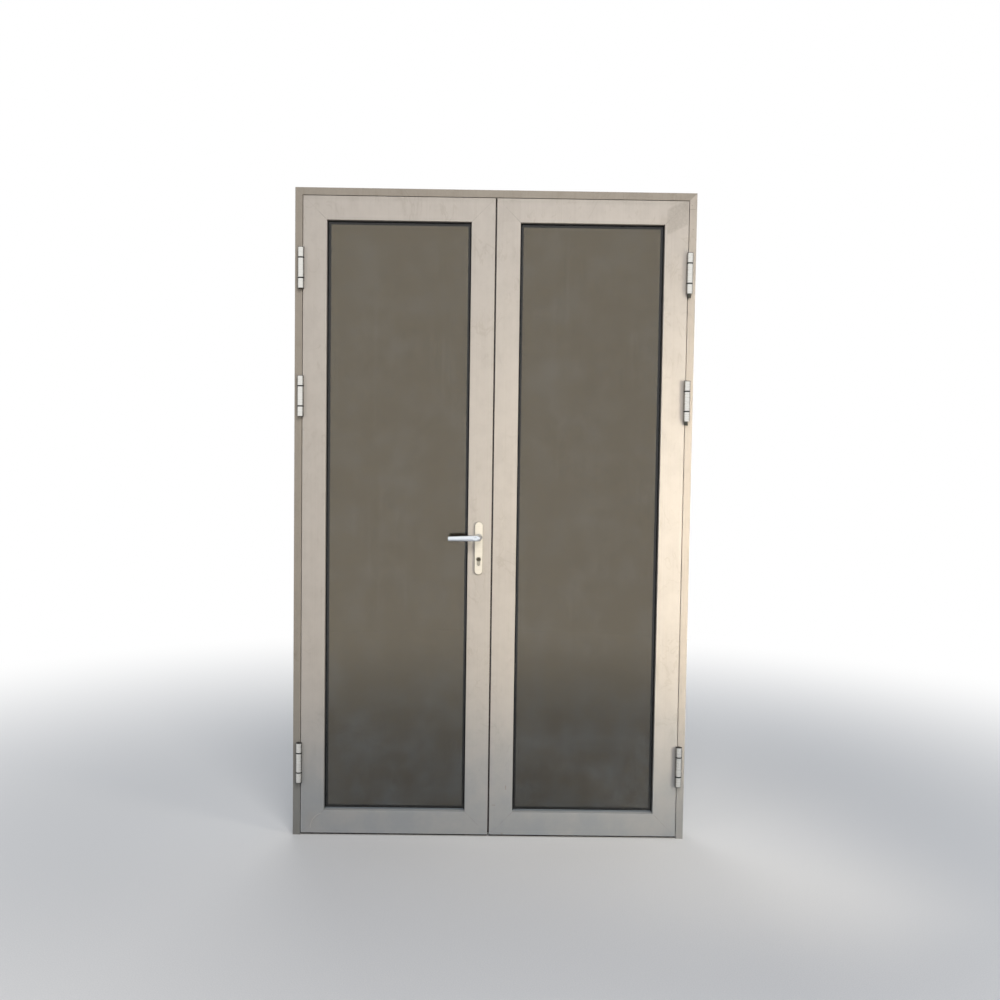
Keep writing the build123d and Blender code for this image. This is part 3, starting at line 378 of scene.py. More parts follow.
def weathering():
    """Rain streaks, painted cool shade at the foot, mottling, wiped smears and specks, each as a mask."""
    graph, given, result = effect_group(
        "Wear and foot shade", ("Streaks", "Specks"), ("Streak", "Foot shade", "Mottle", "Smear", "Speck")
    )
    cloud = graph.noise(graph.place(), 8.0, 4.0, 0.62)
    streaks = graph.scaled(graph.noise(graph.place((170, 170, 1.5)), 1.0, 3.0, 0.6), 0.47, 0.7)
    streak = graph.product(streaks, graph.scaled(cloud, 0.3, 0.65, 0.25, 1.0))
    graph.feed(result["Streak"], graph.product(streak, given["Streaks"], clamp=True))
    # Painted cool shade towards the foot, broken up by the cloud
    low = graph.scaled(graph.axes()["Z"], DUST_AND_FOOT_SHADE_TOP, 0.0)
    graph.feed(result["Foot shade"], graph.product(low, graph.scaled(cloud, 0.3, 0.7, 0.75, 1.0)))
    fine = graph.noise(graph.place((24, 24, 17)), 1.0, 4.0, 0.62)
    graph.feed(result["Mottle"], graph.math("ADD", graph.product(fine, 0.6), graph.product(cloud, 0.4)))
    swirl = graph.noise(graph.place((9, 9, 5)), 1.0, 3.0, distortion=2.2)
    wiped = graph.scaled(graph.apart(swirl, 0.5), 0.035, 0.0)
    graph.feed(result["Smear"], graph.product(wiped, graph.scaled(cloud, 0.48, 0.62)))
    grit = graph.noise(graph.place(), 330.0, 2.0, 0.5)
    specks = graph.product(graph.scaled(grit, 0.66, 0.72), graph.scaled(fine, 0.4, 0.6, 0.2, 1.0))
    graph.feed(result["Speck"], graph.product(specks, given["Specks"], clamp=True))
    return graph.tree


def panel_places():
    """How far a point is from the nearest upright edge and the nearest end of a leaf or of the frame."""
    graph, given, result = effect_group(
        "Panel places", ("Near X", "Far X", "Low Z", "High Z"), ("From edge", "From end")
    )
    axes = graph.axes()
    aside = graph.math("ABSOLUTE", axes["X"])
    inner = graph.difference(aside, given["Near X"])
    outer = graph.difference(given["Far X"], aside)
    below = graph.difference(axes["Z"], given["Low Z"])
    above = graph.difference(given["High Z"], axes["Z"])
    graph.feed(result["From edge"], graph.math("MINIMUM", inner, outer))
    graph.feed(result["From end"], graph.math("MINIMUM", below, above))
    return graph.tree


def soft_mark():
    """A soft-edged patch, upright or sheared, on what lies before a depth, as a mask."""
    graph, given, result = effect_group(
        "Soft mark", ("X", "Z", "Half width", "Half height", "Softness", "Slope", "Behind Y"), ("Mask",)
    )
    axes = graph.axes()
    across = graph.difference(axes["X"], given["X"])
    rise = graph.product(across, given["Slope"])
    along = graph.difference(graph.difference(axes["Z"], given["Z"]), rise)
    shares = []
    for off, half in ((across, "Half width"), (along, "Half height")):
        inside = graph.difference(given[half], graph.math("ABSOLUTE", off))
        shares.append(graph.math("DIVIDE", inside, given["Softness"], clamp=True))
    front = graph.math("LESS_THAN", axes["Y"], given["Behind Y"])
    broken = graph.scaled(graph.noise(graph.place(), 160.0, 3.0, 0.6), 0.3, 0.6, 0.55, 1.0)
    graph.feed(result["Mask"], graph.product(*shares, front, broken))
    return graph.tree


def mitre_line():
    """The hairline where two mitred lengths meet, as a broken mask."""
    graph, given, result = effect_group("Mitre line", ("From edge", "From end", "Width"), ("Line",))
    apart = graph.apart(given["From edge"], given["From end"])
    half = graph.product(given["Width"], 0.5)
    line = graph.math("SUBTRACT", 1.0, graph.math("DIVIDE", apart, half), clamp=True)
    worn = graph.scaled(graph.noise(graph.place(), 34.0, 2.0), 0.36, 0.6, 0.3, 1.0)
    opening = graph.scaled(given["From edge"], 0.01, 0.085, 0.3, 1.0)
    graph.feed(result["Line"], graph.product(line, worn, opening))
    return graph.tree


def scratch_arc():
    """One thin scratch on the outer face, the left part of a ring between two heights, as a mask."""
    graph, given, result = effect_group(
        "Curved scratch", ("Centre X", "Centre Z", "Radius", "Low Z", "High Z", "Width"), ("Mask",)
    )
    axes = graph.axes()
    across = graph.difference(axes["X"], given["Centre X"])
    along = graph.difference(axes["Z"], given["Centre Z"])
    off = graph.apart(graph.distance(across, along), given["Radius"])
    line = graph.math("SUBTRACT", 1.0, graph.math("DIVIDE", off, given["Width"]), clamp=True)
    above = graph.math("GREATER_THAN", axes["Z"], given["Low Z"])
    below = graph.math("LESS_THAN", axes["Z"], given["High Z"])
    left = graph.math("LESS_THAN", axes["X"], given["Centre X"])
    front = graph.math("LESS_THAN", axes["Y"], OUTER_FACE_BACK)
    graph.feed(result["Mask"], graph.product(line, above, below, left, front))
    return graph.tree


def plate_rim():
    """Painted shade on the rounded rim of a long round-ended plate, as a mask."""
    graph, given, result = effect_group(
        "Plate rim shade", ("Middle X", "Middle Z", "Half straight", "Start", "Rim"), ("Mask",)
    )
    axes = graph.axes()
    across = graph.difference(axes["X"], given["Middle X"])
    along = graph.apart(axes["Z"], given["Middle Z"])
    past = graph.math("MAXIMUM", graph.difference(along, given["Half straight"]), 0.0)
    graph.feed(result["Mask"], graph.scaled(graph.distance(across, past), given["Start"], given["Rim"]))
    return graph.tree


EFFECTS = {}


def effects():
    """The shared node groups, made once."""
    if not EFFECTS:
        EFFECTS.update(
            peel=orange_peel(), weather=weathering(), places=panel_places(), mark=soft_mark(),
            mitre=mitre_line(), scratch=scratch_arc(), rim=plate_rim(),
        )
    return EFFECTS


# Finishes

def new_material(name, slot_name):
    """A material with an empty graph, its Principled shader and the record's slot that it belongs to."""
    material = bpy.data.materials.new(name)
    material.use_nodes = True
    graph = Graph(material.node_tree)
    graph.tree.nodes.clear()
    shader = graph.add("ShaderNodeBsdfPrincipled")
    graph.made("ShaderNodeOutputMaterial", {"Surface": shader.outputs[0]})
    material["slot"] = slot_name
    return material, graph, shader.inputs


def placed_mark(graph, x, z, half_width, half_height, softness, slope, behind):
    """The mask of one mark, its place and half sizes given in millimetres."""
    return graph.effect(
        effects()["mark"], X=x * MM, Z=z * MM, Half_width=half_width * MM, Half_height=half_height * MM,
        Softness=softness, Slope=slope, Behind_Y=behind,
    )["Mask"]


def coated(name, tint, spans, marks, streaks, specks):
    """Powder coating in a tint, which is painted shade where it darkens a part: orange peel, mottling, rain
    streaks, painted cool shade at the foot, marks of wear and of painted shade, and hairline mitres.
    """
    material, graph, shader = new_material(name, "powder_coat")
    shared = effects()
    base = toned(bpy.context.scene.door_colours.coat, tint)
    weather = graph.effect(shared["weather"], Streaks=streaks, Specks=specks)
    colour = graph.mix(graph.scaled(weather["Mottle"], 0.36, 0.68, 0.0, 0.7), base, toned(base, MOTTLED))
    for title, strength, shares in COAT_WEAR_AND_SHADE:
        colour = graph.mix(graph.product(weather[title], strength), colour, toned(base, shares))
    near_x, far_x, low_z, high_z = spans
    places = graph.effect(shared["places"], Near_X=near_x, Far_X=far_x, Low_Z=low_z, High_Z=high_z)
    joint = graph.effect(
        shared["mitre"], From_edge=places["From edge"], From_end=places["From end"],
        Width=bpy.context.scene.door_sizes.mitre_line,
    )["Line"]
    colour = graph.mix(graph.product(joint, JOINT_STRENGTH), colour, toned(base, IN_JOINT))
    # Marks of wear, and of painted shade along the leaves' upper edge
    for x, z, half_width, half_height, softness, strength, slope in marks:
        mask = placed_mark(graph, x, z, half_width, half_height, softness * MM, slope, OUTER_FACE_BACK)
        colour = graph.mix(graph.product(mask, strength), colour, toned(base, SOILED_AND_SHADED))
    scratch = graph.effect(shared["scratch"], **SCRATCH)["Mask"]
    colour = graph.mix(graph.product(scratch, SCRATCH_STRENGTH), colour, toned(base, SCRATCHED))
    graph.feed(shader["Base Color"], colour)
    graph.feed(shader["Roughness"], graph.scaled(weather["Mottle"], 0.3, 0.7, 0.36, 0.46))
    shader["Metallic"].default_value = 0.0
    shader["Specular IOR Level"].default_value = 0.4
    shader["Coat Weight"].default_value = 0.1
    shader["Coat Roughness"].default_value = 0.25
    peel = graph.effect(shared["peel"], Grain_size=PEEL_GRAIN)["Height"]
    graph.feed(shader["Normal"], graph.bump(peel, PEEL_DEPTH, 0.6))
    return material


def metal(name, slot_name, colour, roughness, grain=(30, 30, 900), metallic=1.0, shade=0.9, painted_shade=None):
    """Brushed or satin metal, with its grain along one axis, and painted shade where a function masks it."""
    material, graph, shader = new_material(name, slot_name)
    lines = graph.noise(graph.place(grain), 1.0, 3.0, 0.6)
    cloud = graph.noise(graph.place(), 45.0, 3.0, 0.6)
    darker = toned(colour, (shade, shade, shade))
    tone = graph.mix(graph.scaled(lines, 0.3, 0.7), darker, colour)
    tone = graph.mix(graph.scaled(cloud, 0.45, 0.8, 0.0, 0.35), tone, darker)
    if painted_shade:
        # Painted shade darkens the tone where the mask lies
        tone = graph.mix(painted_shade(graph), tone, toned(colour, PAINTED_SHADE_SHARES))
    graph.feed(shader["Base Color"], tone)
    graph.feed(shader["Roughness"], graph.scaled(lines, 0.25, 0.75, roughness * 0.8, roughness * 1.25))
    shader["Metallic"].default_value = metallic
    shader["Specular Tint"].default_value = METAL_EDGE_TINT
    graph.feed(shader["Normal"], graph.bump(lines, BRUSHED_DEPTH, 0.3))
    return material


def plate_rim_shade(graph):
    """Painted shade on the rims of the handle plates, placed by the outer plate."""
    low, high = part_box("outer_handle_plate")
    half = (high.x - low.x) / 2
    rim = graph.effect(
        effects()["rim"], Middle_X=(low.x + high.x) / 2, Middle_Z=(low.z + high.z) / 2,
        Half_straight=(high.z - low.z) / 2 - half, Start=half - RIM_SHADE_FROM, Rim=half - RIM_SHADE_FULL,
    )["Mask"]
    return graph.product(rim, RIM_SHADE_STRENGTH)


def barrel_side_shade(graph):
    """Painted shade on the sides of the hinge barrels, which are darker towards each side."""
    low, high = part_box("hinge_washers")
    radius = (high.y - low.y) / 2
    aside = graph.apart(graph.math("ABSOLUTE", graph.axes()["X"]), high.x - radius)
    side = graph.scaled(aside, radius * BARREL_SHADE_FROM, radius * BARREL_SHADE_FULL)
    return graph.product(side, graph.scaled(graph.noise(graph.place(), 60.0, 3.0), 0.3, 0.6, 0.8, 1.0))


def dull(name, slot_name, colour, roughness, dusty=0.0):
    """Rubber, nylon or pile, with a fine moulded grain, and dust on what faces up."""
    material, graph, shader = new_material(name, slot_name)
    fine = graph.noise(graph.place(), 1 / MOULDED_GRAIN, 2.0)
    cloud = graph.noise(graph.place(), 30.0, 3.0)
    pale = tuple(min(1.0, channel * 1.6 + 0.004) for channel in colour)
    tone = graph.mix(graph.scaled(cloud, 0.45, 0.8, 0.0, 0.5), colour, pale)
    normal = graph.add("ShaderNodeNewGeometry").outputs["Normal"]
    facing_up = graph.made("ShaderNodeSeparateXYZ", {0: normal}).outputs["Z"]
    settled = graph.product(graph.scaled(facing_up, 0.1, 0.5), dusty)
    graph.feed(shader["Base Color"], graph.mix(settled, tone, linear(*RUBBER_DUST)))
    graph.feed(shader["Roughness"], graph.scaled(fine, 0.3, 0.7, roughness * 0.9, min(1.0, roughness * 1.1)))
    shader["Specular IOR Level"].default_value = 0.2
    graph.feed(shader["Normal"], graph.bump(fine, MOULDED_DEPTH, 0.5))
    return material


def glass(name, slot_name, colour, dusty):
    """Flat glass with a faint roller wave, dried splashes, and dust towards its lower edge."""
    material, graph, shader = new_material(name, slot_name)
    cloud = graph.noise(graph.place(), 7.0, 4.0, 0.65)
    low = graph.scaled(graph.axes()["Z"], DUST_AND_FOOT_SHADE_TOP, 0.1)
    settled = graph.product(low, graph.scaled(cloud, 0.25, 0.75), dusty)
    runs = graph.noise(graph.place((95, 95, 1.3)), 1.0, 4.0, 0.65)
    thin = graph.scaled(cloud, 0.4, 0.75, 0.0, 0.25)
    film = graph.math("ADD", thin, graph.scaled(runs, 0.5, 0.8, 0.0, 0.25))
    dust = graph.math("ADD", settled, graph.product(film, dusty))
    dried = graph.scaled(graph.noise(graph.place(), 130.0, 3.0, 0.7), 0.58, 0.68)
    for x, z, half_width, half_height in GLASS_MARKS:
        mask = placed_mark(graph, x, z, half_width, half_height, SPLASH_SOFTNESS, 0.0, BEHIND_PANES)
        dust = graph.math("MAXIMUM", dust, graph.product(mask, dried, dusty))
    graph.feed(shader["Base Color"], graph.mix(dust, colour, linear(*GLASS_DUST)))
    graph.feed(shader["Roughness"], graph.scaled(dust, 0.0, 1.0, 0.0, 0.12))
    shader["Transmission Weight"].default_value = 1.0
    shader["IOR"].default_value = GLASS_IOR
    wave = graph.noise(graph.place((1.2, 1.2, 3.0)), 1.0, 1.0)
    graph.feed(shader["Normal"], graph.bump(wave, GLASS_WAVE_DEPTH, 0.25))
    return material


# Putting finishes on pieces

def dress(material, *nodes):
    """Gives CAD nodes a material."""
    for name in nodes:
        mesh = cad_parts[name].data
        mesh.materials.clear()
        mesh.materials.append(material)


def merged_copy(node):
    """A copy of a CAD node's mesh, its doubles merged and its flat faces made whole."""
    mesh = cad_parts[node].data.copy()
    shape = bmesh.new()
    shape.from_mesh(mesh)
    bmesh.ops.remove_doubles(shape, verts=shape.verts, dist=SAME_POINT)
    bmesh.ops.dissolve_limit(
        shape, angle_limit=FLAT_ANGLE, verts=shape.verts, edges=shape.edges, delimit={"NORMAL"}
    )
    shape.to_mesh(mesh)
    shape.free()
    return mesh


def finished(mesh, node, body, material):
    """Puts a smooth-shaded mesh in a CAD node's place, on its body and in its slot."""
    piece = bpy.data.objects.new("fine_" + node, mesh)
    bpy.context.scene.collection.objects.link(piece)
    mesh.shade_smooth()
    mesh.set_sharp_from_angle(angle=SHARP_ANGLE)
    mesh.materials.clear()
    mesh.materials.append(material)
    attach(piece, body)
    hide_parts(node)
    return piece


def refined(node, material, body):
    """Finishes a copy of a CAD node with its arrises broken."""
    piece = finished(merged_copy(node), node, body, material)
    edge = piece.modifiers.new("arris", "BEVEL")
    edge.width = bpy.context.scene.door_sizes.arris
    edge.segments = 2
    edge.limit_method = "ANGLE"
    edge.angle_limit = SHARP_ANGLE
    edge.harden_normals = True


def smoothed(node, material, body):
    """Finishes a copy of a straight profile, whose rounded corners shade smoothly into flat faces."""
    piece = finished(merged_copy(node), node, body, material)
    normals = piece.modifiers.new("flat faces", "WEIGHTED_NORMAL")
    normals.keep_sharp = True


# Geometry Nodes for what repeats

def shape_tree(name, sizes, whole_numbers=()):
    """An empty geometry tree with its sizes, its whole numbers and its material as named inputs."""
    inputs = {"Geometry": "NodeSocketGeometry"}
    inputs.update({title: "NodeSocketFloat" for title in sizes})
    inputs.update({title: "NodeSocketInt" for title in whole_numbers})
    inputs["Material"] = "NodeSocketMaterial"
    return open_tree(name, "GeometryNodeTree", inputs, {"Geometry": "NodeSocketGeometry"})


def end_tree(graph, parts, material, result):
    """Joins the parts, makes them real and gives them their material."""
    joined = graph.add("GeometryNodeJoinGeometry")
    for part in parts:
        graph.feed(joined.inputs[0], part)
    real = graph.made("GeometryNodeRealizeInstances", {"Geometry": joined.outputs[0]})
    coloured = graph.made("GeometryNodeSetMaterial", {"Geometry": real.outputs[0], "Material": material})
    graph.feed(result["Geometry"], coloured.outputs[0])


def random_vector(graph, low, high, seed):
    """A random vector for each point."""
    limits = {"Min": low, "Max": high, "Seed": seed}
    return graph.made("FunctionNodeRandomValue", limits, data_type="FLOAT_VECTOR").outputs[0]


def tuft_tree():
    """Tufts in rows on a carrier that lies along X, pointing up Z."""
    graph, given, result = shape_tree("Pile tufts", ("Length", "Width", "Height", "Pitch"), ("Seed",))
    pitch = given["Pitch"]
    rows = graph.made("GeometryNodeMeshGrid", {
        "Size X": graph.difference(given["Length"], pitch), "Size Y": given["Width"],
        "Vertices X": graph.math("DIVIDE", given["Length"], pitch),
        "Vertices Y": graph.math("ADD", graph.math("DIVIDE", given["Width"], pitch), 1.0),
    })
    strays_by = graph.product(pitch, 0.4)
    back = graph.made("ShaderNodeCombineXYZ", {"X": graph.product(strays_by, -1.0)})
    forth = graph.made("ShaderNodeCombineXYZ", {"X": strays_by})
    placed = graph.made("GeometryNodeSetPosition", {
        "Geometry": rows.outputs["Mesh"],
        "Offset": random_vector(graph, back.outputs[0], forth.outputs[0], given["Seed"]),
    })
    tuft = graph.made("GeometryNodeMeshCone", {
        "Vertices": 4, "Radius Top": graph.product(pitch, 0.3), "Radius Bottom": graph.product(pitch, 0.45),
        "Depth": given["Height"],
    }, fill_type="TRIANGLE_FAN")
    lean_seed = graph.math("ADD", given["Seed"], 1.0)
    size_seed = graph.math("ADD", given["Seed"], 2.0)
    tufts = graph.made("GeometryNodeInstanceOnPoints", {
        "Points": placed.outputs[0], "Instance": tuft.outputs["Mesh"],
        "Rotation": random_vector(graph, (-0.07, -0.1, 0.0), (0.07, 0.1, 3.1), lean_seed),
        "Scale": random_vector(graph, (1.0, 1.0, 0.9), (1.0, 1.0, 0.98), size_seed),
    })
    end_tree(graph, (given["Geometry"], tufts.outputs[0]), given["Material"], result)
    return graph.tree


def screw_tree():
    """A countersunk screw with a cross recess at each point, along the point's direction."""
    graph, given, result = shape_tree(
        "Countersunk screws", ("Head radius", "Head height", "Shank radius", "Recess width", "Recess depth")
    )
    head = graph.made("GeometryNodeMeshCone", {
        "Vertices": 32, "Radius Top": given["Shank radius"], "Radius Bottom": given["Head radius"],
        "Depth": given["Head height"],
    })
    span = graph.product(given["Head radius"], 1.15)
    twice_deep = graph.product(given["Recess depth"], 2.0)
    cut = graph.made(
        "GeometryNodeMeshBoolean", {"Mesh 1": head.outputs["Mesh"]}, operation="DIFFERENCE", solver="EXACT",
    )
    for across, along in ((given["Recess width"], span), (span, given["Recess width"])):
        size = graph.made("ShaderNodeCombineXYZ", {"X": across, "Y": along, "Z": twice_deep})
        slot = graph.made("GeometryNodeMeshCube", {"Size": size.outputs[0]})
        graph.feed(cut.inputs["Mesh 2"], slot.outputs["Mesh"])
    direction, length = (
        graph.made("GeometryNodeInputNamedAttribute", {"Name": name}, data_type=kind).outputs[0]
        for name, kind in (("direction", "FLOAT_VECTOR"), ("length", "FLOAT"))
    )
    turned = graph.made("FunctionNodeAlignRotationToVector", {"Vector": direction}, axis="Z")
    heads = graph.made("GeometryNodeInstanceOnPoints", {
        "Points": given["Geometry"], "Instance": cut.outputs["Mesh"], "Rotation": turned.outputs[0],
    })
    middle = graph.product(graph.math("ADD", length, given["Head height"]), 0.5)
    offset = graph.made("ShaderNodeVectorMath", {0: direction, "Scale": middle}, operation="SCALE")
    shank_middles = graph.made("GeometryNodeSetPosition", {
        "Geometry": given["Geometry"], "Offset": offset.outputs[0],
    })
    shank = graph.made("GeometryNodeMeshCylinder", {
        "Vertices": 20, "Radius": given["Shank radius"], "Depth": 1.0,
    })
    stretch = graph.made("ShaderNodeCombineXYZ", {
        "X": 1.0, "Y": 1.0, "Z": graph.difference(length, given["Head height"]),
    })
    shanks = graph.made("GeometryNodeInstanceOnPoints", {
        "Points": shank_middles.outputs[0], "Instance": shank.outputs["Mesh"],
        "Rotation": turned.outputs[0], "Scale": stretch.outputs[0],
    })
    end_tree(graph, (heads.outputs[0], shanks.outputs[0]), given["Material"], result)
    return graph.tree


def grown(mesh, tree, values):
    """The plain mesh that a node tree makes from a mesh, with the tree's inputs set by name."""
    holder = bpy.data.objects.new("holder", mesh)
    bpy.context.scene.collection.objects.link(holder)
    modifier = holder.modifiers.new("grown", "NODES")
    modifier.node_group = tree
    for item in tree.interface.items_tree:
        if item.in_out == "INPUT" and item.name in values:
            modifier[item.identifier] = values[item.name]
    depsgraph = bpy.context.evaluated_depsgraph_get()
    result = bpy.data.meshes.new_from_object(holder.evaluated_get(depsgraph), depsgraph=depsgraph)
    holder.modifiers.remove(modifier)
    bpy.data.objects.remove(holder)
    return result


def pile_seal(node, body, outward, material, tree, seed):
    """Makes a pile seal: a carrier in the groove, a thin fin that stands on it, and rows of tufts."""
    sizes = bpy.context.scene.door_sizes
    low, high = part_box(node)
    outward = Vector(outward)
    along = Vector((0, 1, 0)).cross(outward)
    size = high - low
    length = abs(size.dot(along))
    reach = abs(size.dot(outward))
    height = reach - sizes.carrier
    shape = bmesh.new()
    for depth, bottom, top in ((size.y, -sizes.carrier, 0), (sizes.fin, 0, height)):
        made = bmesh.ops.create_cube(shape, size=1.0)["verts"]
        bmesh.ops.scale(shape, vec=(length, depth, top - bottom), verts=made)
        bmesh.ops.translate(shape, vec=(0, 0, (bottom + top) / 2), verts=made)
    carrier = bpy.data.meshes.new("carrier")
    shape.to_mesh(carrier)
    shape.free()
    mesh = grown(carrier, tree, {
        "Length": length - 2 * sizes.tuft_pitch, "Width": size.y * TUFTED_SHARE, "Height": height,
        "Pitch": sizes.tuft_pitch, "Seed": seed, "Material": material,
    })
    root = (low + high) / 2 + outward * (reach / 2 - height)
    turn = Matrix((along, (0, 1, 0), outward)).transposed().to_4x4()
    mesh.transform(Matrix.Translation(root) @ turn)
    finished(mesh, node, body, material)


def loose_parts(shape):
    """The points of each part of a mesh that is joined to no other part."""
    waiting = dict.fromkeys(shape.verts)
    while waiting:
        reached = [waiting.popitem()[0]]
        for vertex in reached:
            for edge in vertex.link_edges:
                other = edge.other_vert(vertex)
                if other in waiting:
                    del waiting[other]
                    reached.append(other)
        yield [vertex.co.copy() for vertex in reached]


def screw_place(points):
    """The face centre of a screw's head, the way the screw points and its length."""
    low = Vector(min(p[i] for p in points) for i in range(3))
    high = Vector(max(p[i] for p in points) for i in range(3))
    size = high - low
    axis = max(range(3), key=lambda i: abs(size[i] - SCREW_HEAD_WIDTH))
    middle = (low + high) / 2
    reaches = []
    for end in (low, high):
        face = [p for p in points if abs(p[axis] - end[axis]) < SAME_FACE]
        reaches.append(max(sum((p[i] - middle[i]) ** 2 for i in range(3) if i != axis) for p in face))
    sign = 1 if reaches[0] > reaches[1] else -1
    direction = Vector(sign if i == axis else 0 for i in range(3))
    return middle - direction * size[axis] / 2, direction, size[axis]


def screw_places(node):
    """The place, direction and length of each screw in a CAD node."""
    shape = bmesh.new()
    shape.from_mesh(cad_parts[node].data)
    bmesh.ops.remove_doubles(shape, verts=shape.verts, dist=SAME_POINT)
    places = [screw_place(points) for points in loose_parts(shape)]
    shape.free()
    return places


def cross_screws(node, body, material, tree):
    """Makes the screws of a node again, with their cross recesses."""
    sizes = bpy.context.scene.door_sizes
    places = screw_places(node)
    points = bpy.data.meshes.new("screw points")
    points.from_pydata([place for place, direction, length in places], [], [])
    points.attributes.new("direction", "FLOAT_VECTOR", "POINT")
    points.attributes.new("length", "FLOAT", "POINT")
    for index, (place, direction, length) in enumerate(places):
        points.attributes["direction"].data[index].vector = direction
        points.attributes["length"].data[index].value = length
    mesh = grown(points, tree, {
        "Head radius": SCREW_HEAD_WIDTH / 2, "Head height": SCREW_HEAD_HEIGHT,
        "Shank radius": SCREW_SHANK_RADIUS, "Recess width": sizes.recess_width,
        "Recess depth": sizes.recess_depth, "Material": material,
    })
    finished(mesh, node, body, material)


# Operators, one for each group of pieces

class DOOR_OT_coating(bpy.types.Operator):
    """Powder coat the frame, the leaves and the glazing beads"""
    bl_idname = "door.coating"
    bl_label = "Powder coating"

    def execute(self, context):
        leaf_spans = (LEAF_LOW.x, LEAF_HIGH.x, LEAF_LOW.z, LEAF_HIGH.z)
        frame_spans = (-FRAME_TOP, FRAME_HALF_WIDTH, -FRAME_TOP, FRAME_TOP)
        leaf = coated("Powder coat on leaves", LEAF_TINT, leaf_spans, LEAF_MARKS, 0.6, 0.35)
        # The head and the left jamb get the painted shade tint
        shaded = coated("Powder coat with painted shade on frame", PAINTED_SHADE_TINT, frame_spans, FRAME_MARKS, 0.9, 1.0)
        jamb = coated("Powder coat on right jamb", RIGHT_JAMB_TINT, frame_spans, FRAME_MARKS, 0.9, 0.6)
        for leaf_name in LEAVES:
            for part in COATED_LEAF_PARTS:
                smoothed(f"{leaf_name}_{part}", leaf, leaf_name + "_leaf")
            smoothed(leaf_name + "_glazing_beads", leaf, leaf_name + "_leaf")
        for part, coat in (("left_jamb", shaded), ("right_jamb", jamb), ("head", shaded)):
            smoothed(part, coat, "frame")
        return {"FINISHED"}


class DOOR_OT_glazing(bpy.types.Operator):
    """Finish the panes, their seals, spacers and setting blocks"""
    bl_idname = "door.glazing"
    bl_label = "Glazing"

    def execute(self, context):
        colours = context.scene.door_colours
        tinted = glass("Tinted glass", "tinted_glass", colours.glass, 0.35)
        clear = glass("Clear glass", "clear_glass", linear(236, 240, 238), 0.1)
        rubber = dull("Black rubber seal", "black_rubber", colours.rubber, 0.6, dusty=0.6)
        spacer = dull("Black spacer", "spacer", linear(12, 12, 13), 0.6)
        nylon = dull("Black nylon", "black_nylon", linear(24, 24, 26), 0.45)
        for leaf_name in LEAVES:
            dress(tinted, f"{leaf_name}_outer_pane")
            dress(clear, f"{leaf_name}_inner_pane")
            dress(rubber, f"{leaf_name}_outer_gasket", f"{leaf_name}_inner_gasket")
            dress(spacer, f"{leaf_name}_edge_spacer")
            dress(nylon, f"{leaf_name}_setting_blocks")
        dress(rubber, "frame_stop_gasket")
        return {"FINISHED"}


class DOOR_OT_hinges(bpy.types.Operator):
    """Finish the barrel hinges, their washers, caps and pins"""
    bl_idname = "door.hinges"
    bl_label = "Hinges"

    def execute(self, context):
        satin = metal("Satin hinge", "hinge_metal", context.scene.door_colours.hinge, 0.3, painted_shade=barrel_side_shade)
        steel = metal("Dull pin steel", "pin_steel", linear(96, 96, 88), 0.5)
        nylon = dull("Black nylon washers", "black_nylon", linear(22, 22, 24), 0.4)
        for node, body in HINGE_HALVES.items():
            refined(node, satin, body)
        refined("hinge_pins", steel, "frame")
        refined("hinge_washers", nylon, "frame")
        refined("hinge_caps", nylon, "frame")
        return {"FINISHED"}


class DOOR_OT_handle(bpy.types.Operator):
    """Finish the levers, their plates, the spindle, the lock case, the latch and the flush bolts"""
    bl_idname = "door.handle"
    bl_label = "Lever handle"

    def execute(self, context):
        colours = context.scene.door_colours
        # Its warm cream colour is a painted reflection on pale silver
        plate = metal(
            "Satin handle plate", "handle_plate_metal", colours.plate, 0.35, metallic=0.4, painted_shade=plate_rim_shade,
        )
        grip = metal("Satin lever", "lever_metal", colours.lever, 0.2, grain=(40, 500, 500), shade=0.95)
        zinc = metal("Zinc plate", "lock_steel", linear(170, 170, 168), 0.35)
        for part, finish, body in (("handle_plate", plate, "active_leaf"), ("lever", grip, "lever_set")):
            refined("outer_" + part, finish, body)
            refined("inner_" + part, finish, body)
        dress(zinc, "spindle", "lock_follower", "lock_case", "latch_bolt")
        dress(zinc, "top_flush_bolt", "bottom_flush_bolt")
        return {"FINISHED"}


class DOOR_OT_lock(bpy.types.Operator):
    """Finish the cylinder, the dead bolt, the face plates, strike and keeper, and the screws"""
    bl_idname = "door.lock"
    bl_label = "Lock and screws"

    def execute(self, context):
        nickel = metal("Nickel cylinder", "cylinder_metal", linear(196, 188, 170), 0.35)
        plug = metal("Dark plug", "plug_metal", linear(112, 104, 88), 0.4)
        stainless = metal("Satin stainless", "stainless", linear(190, 190, 187), 0.35)
        refined("cylinder_housing", nickel, "active_leaf")
        refined("cylinder_plugs", plug, "cylinder")
        dress(stainless, "lock_faceplate", "dead_bolt", "strike_plate")
        dress(stainless, "flush_bolt_plates", "top_bolt_keeper")
        tree = screw_tree()
        for body in ("frame", "active_leaf", "passive_leaf"):
            cross_screws(body + "_screws", body, stainless, tree)
        return {"FINISHED"}


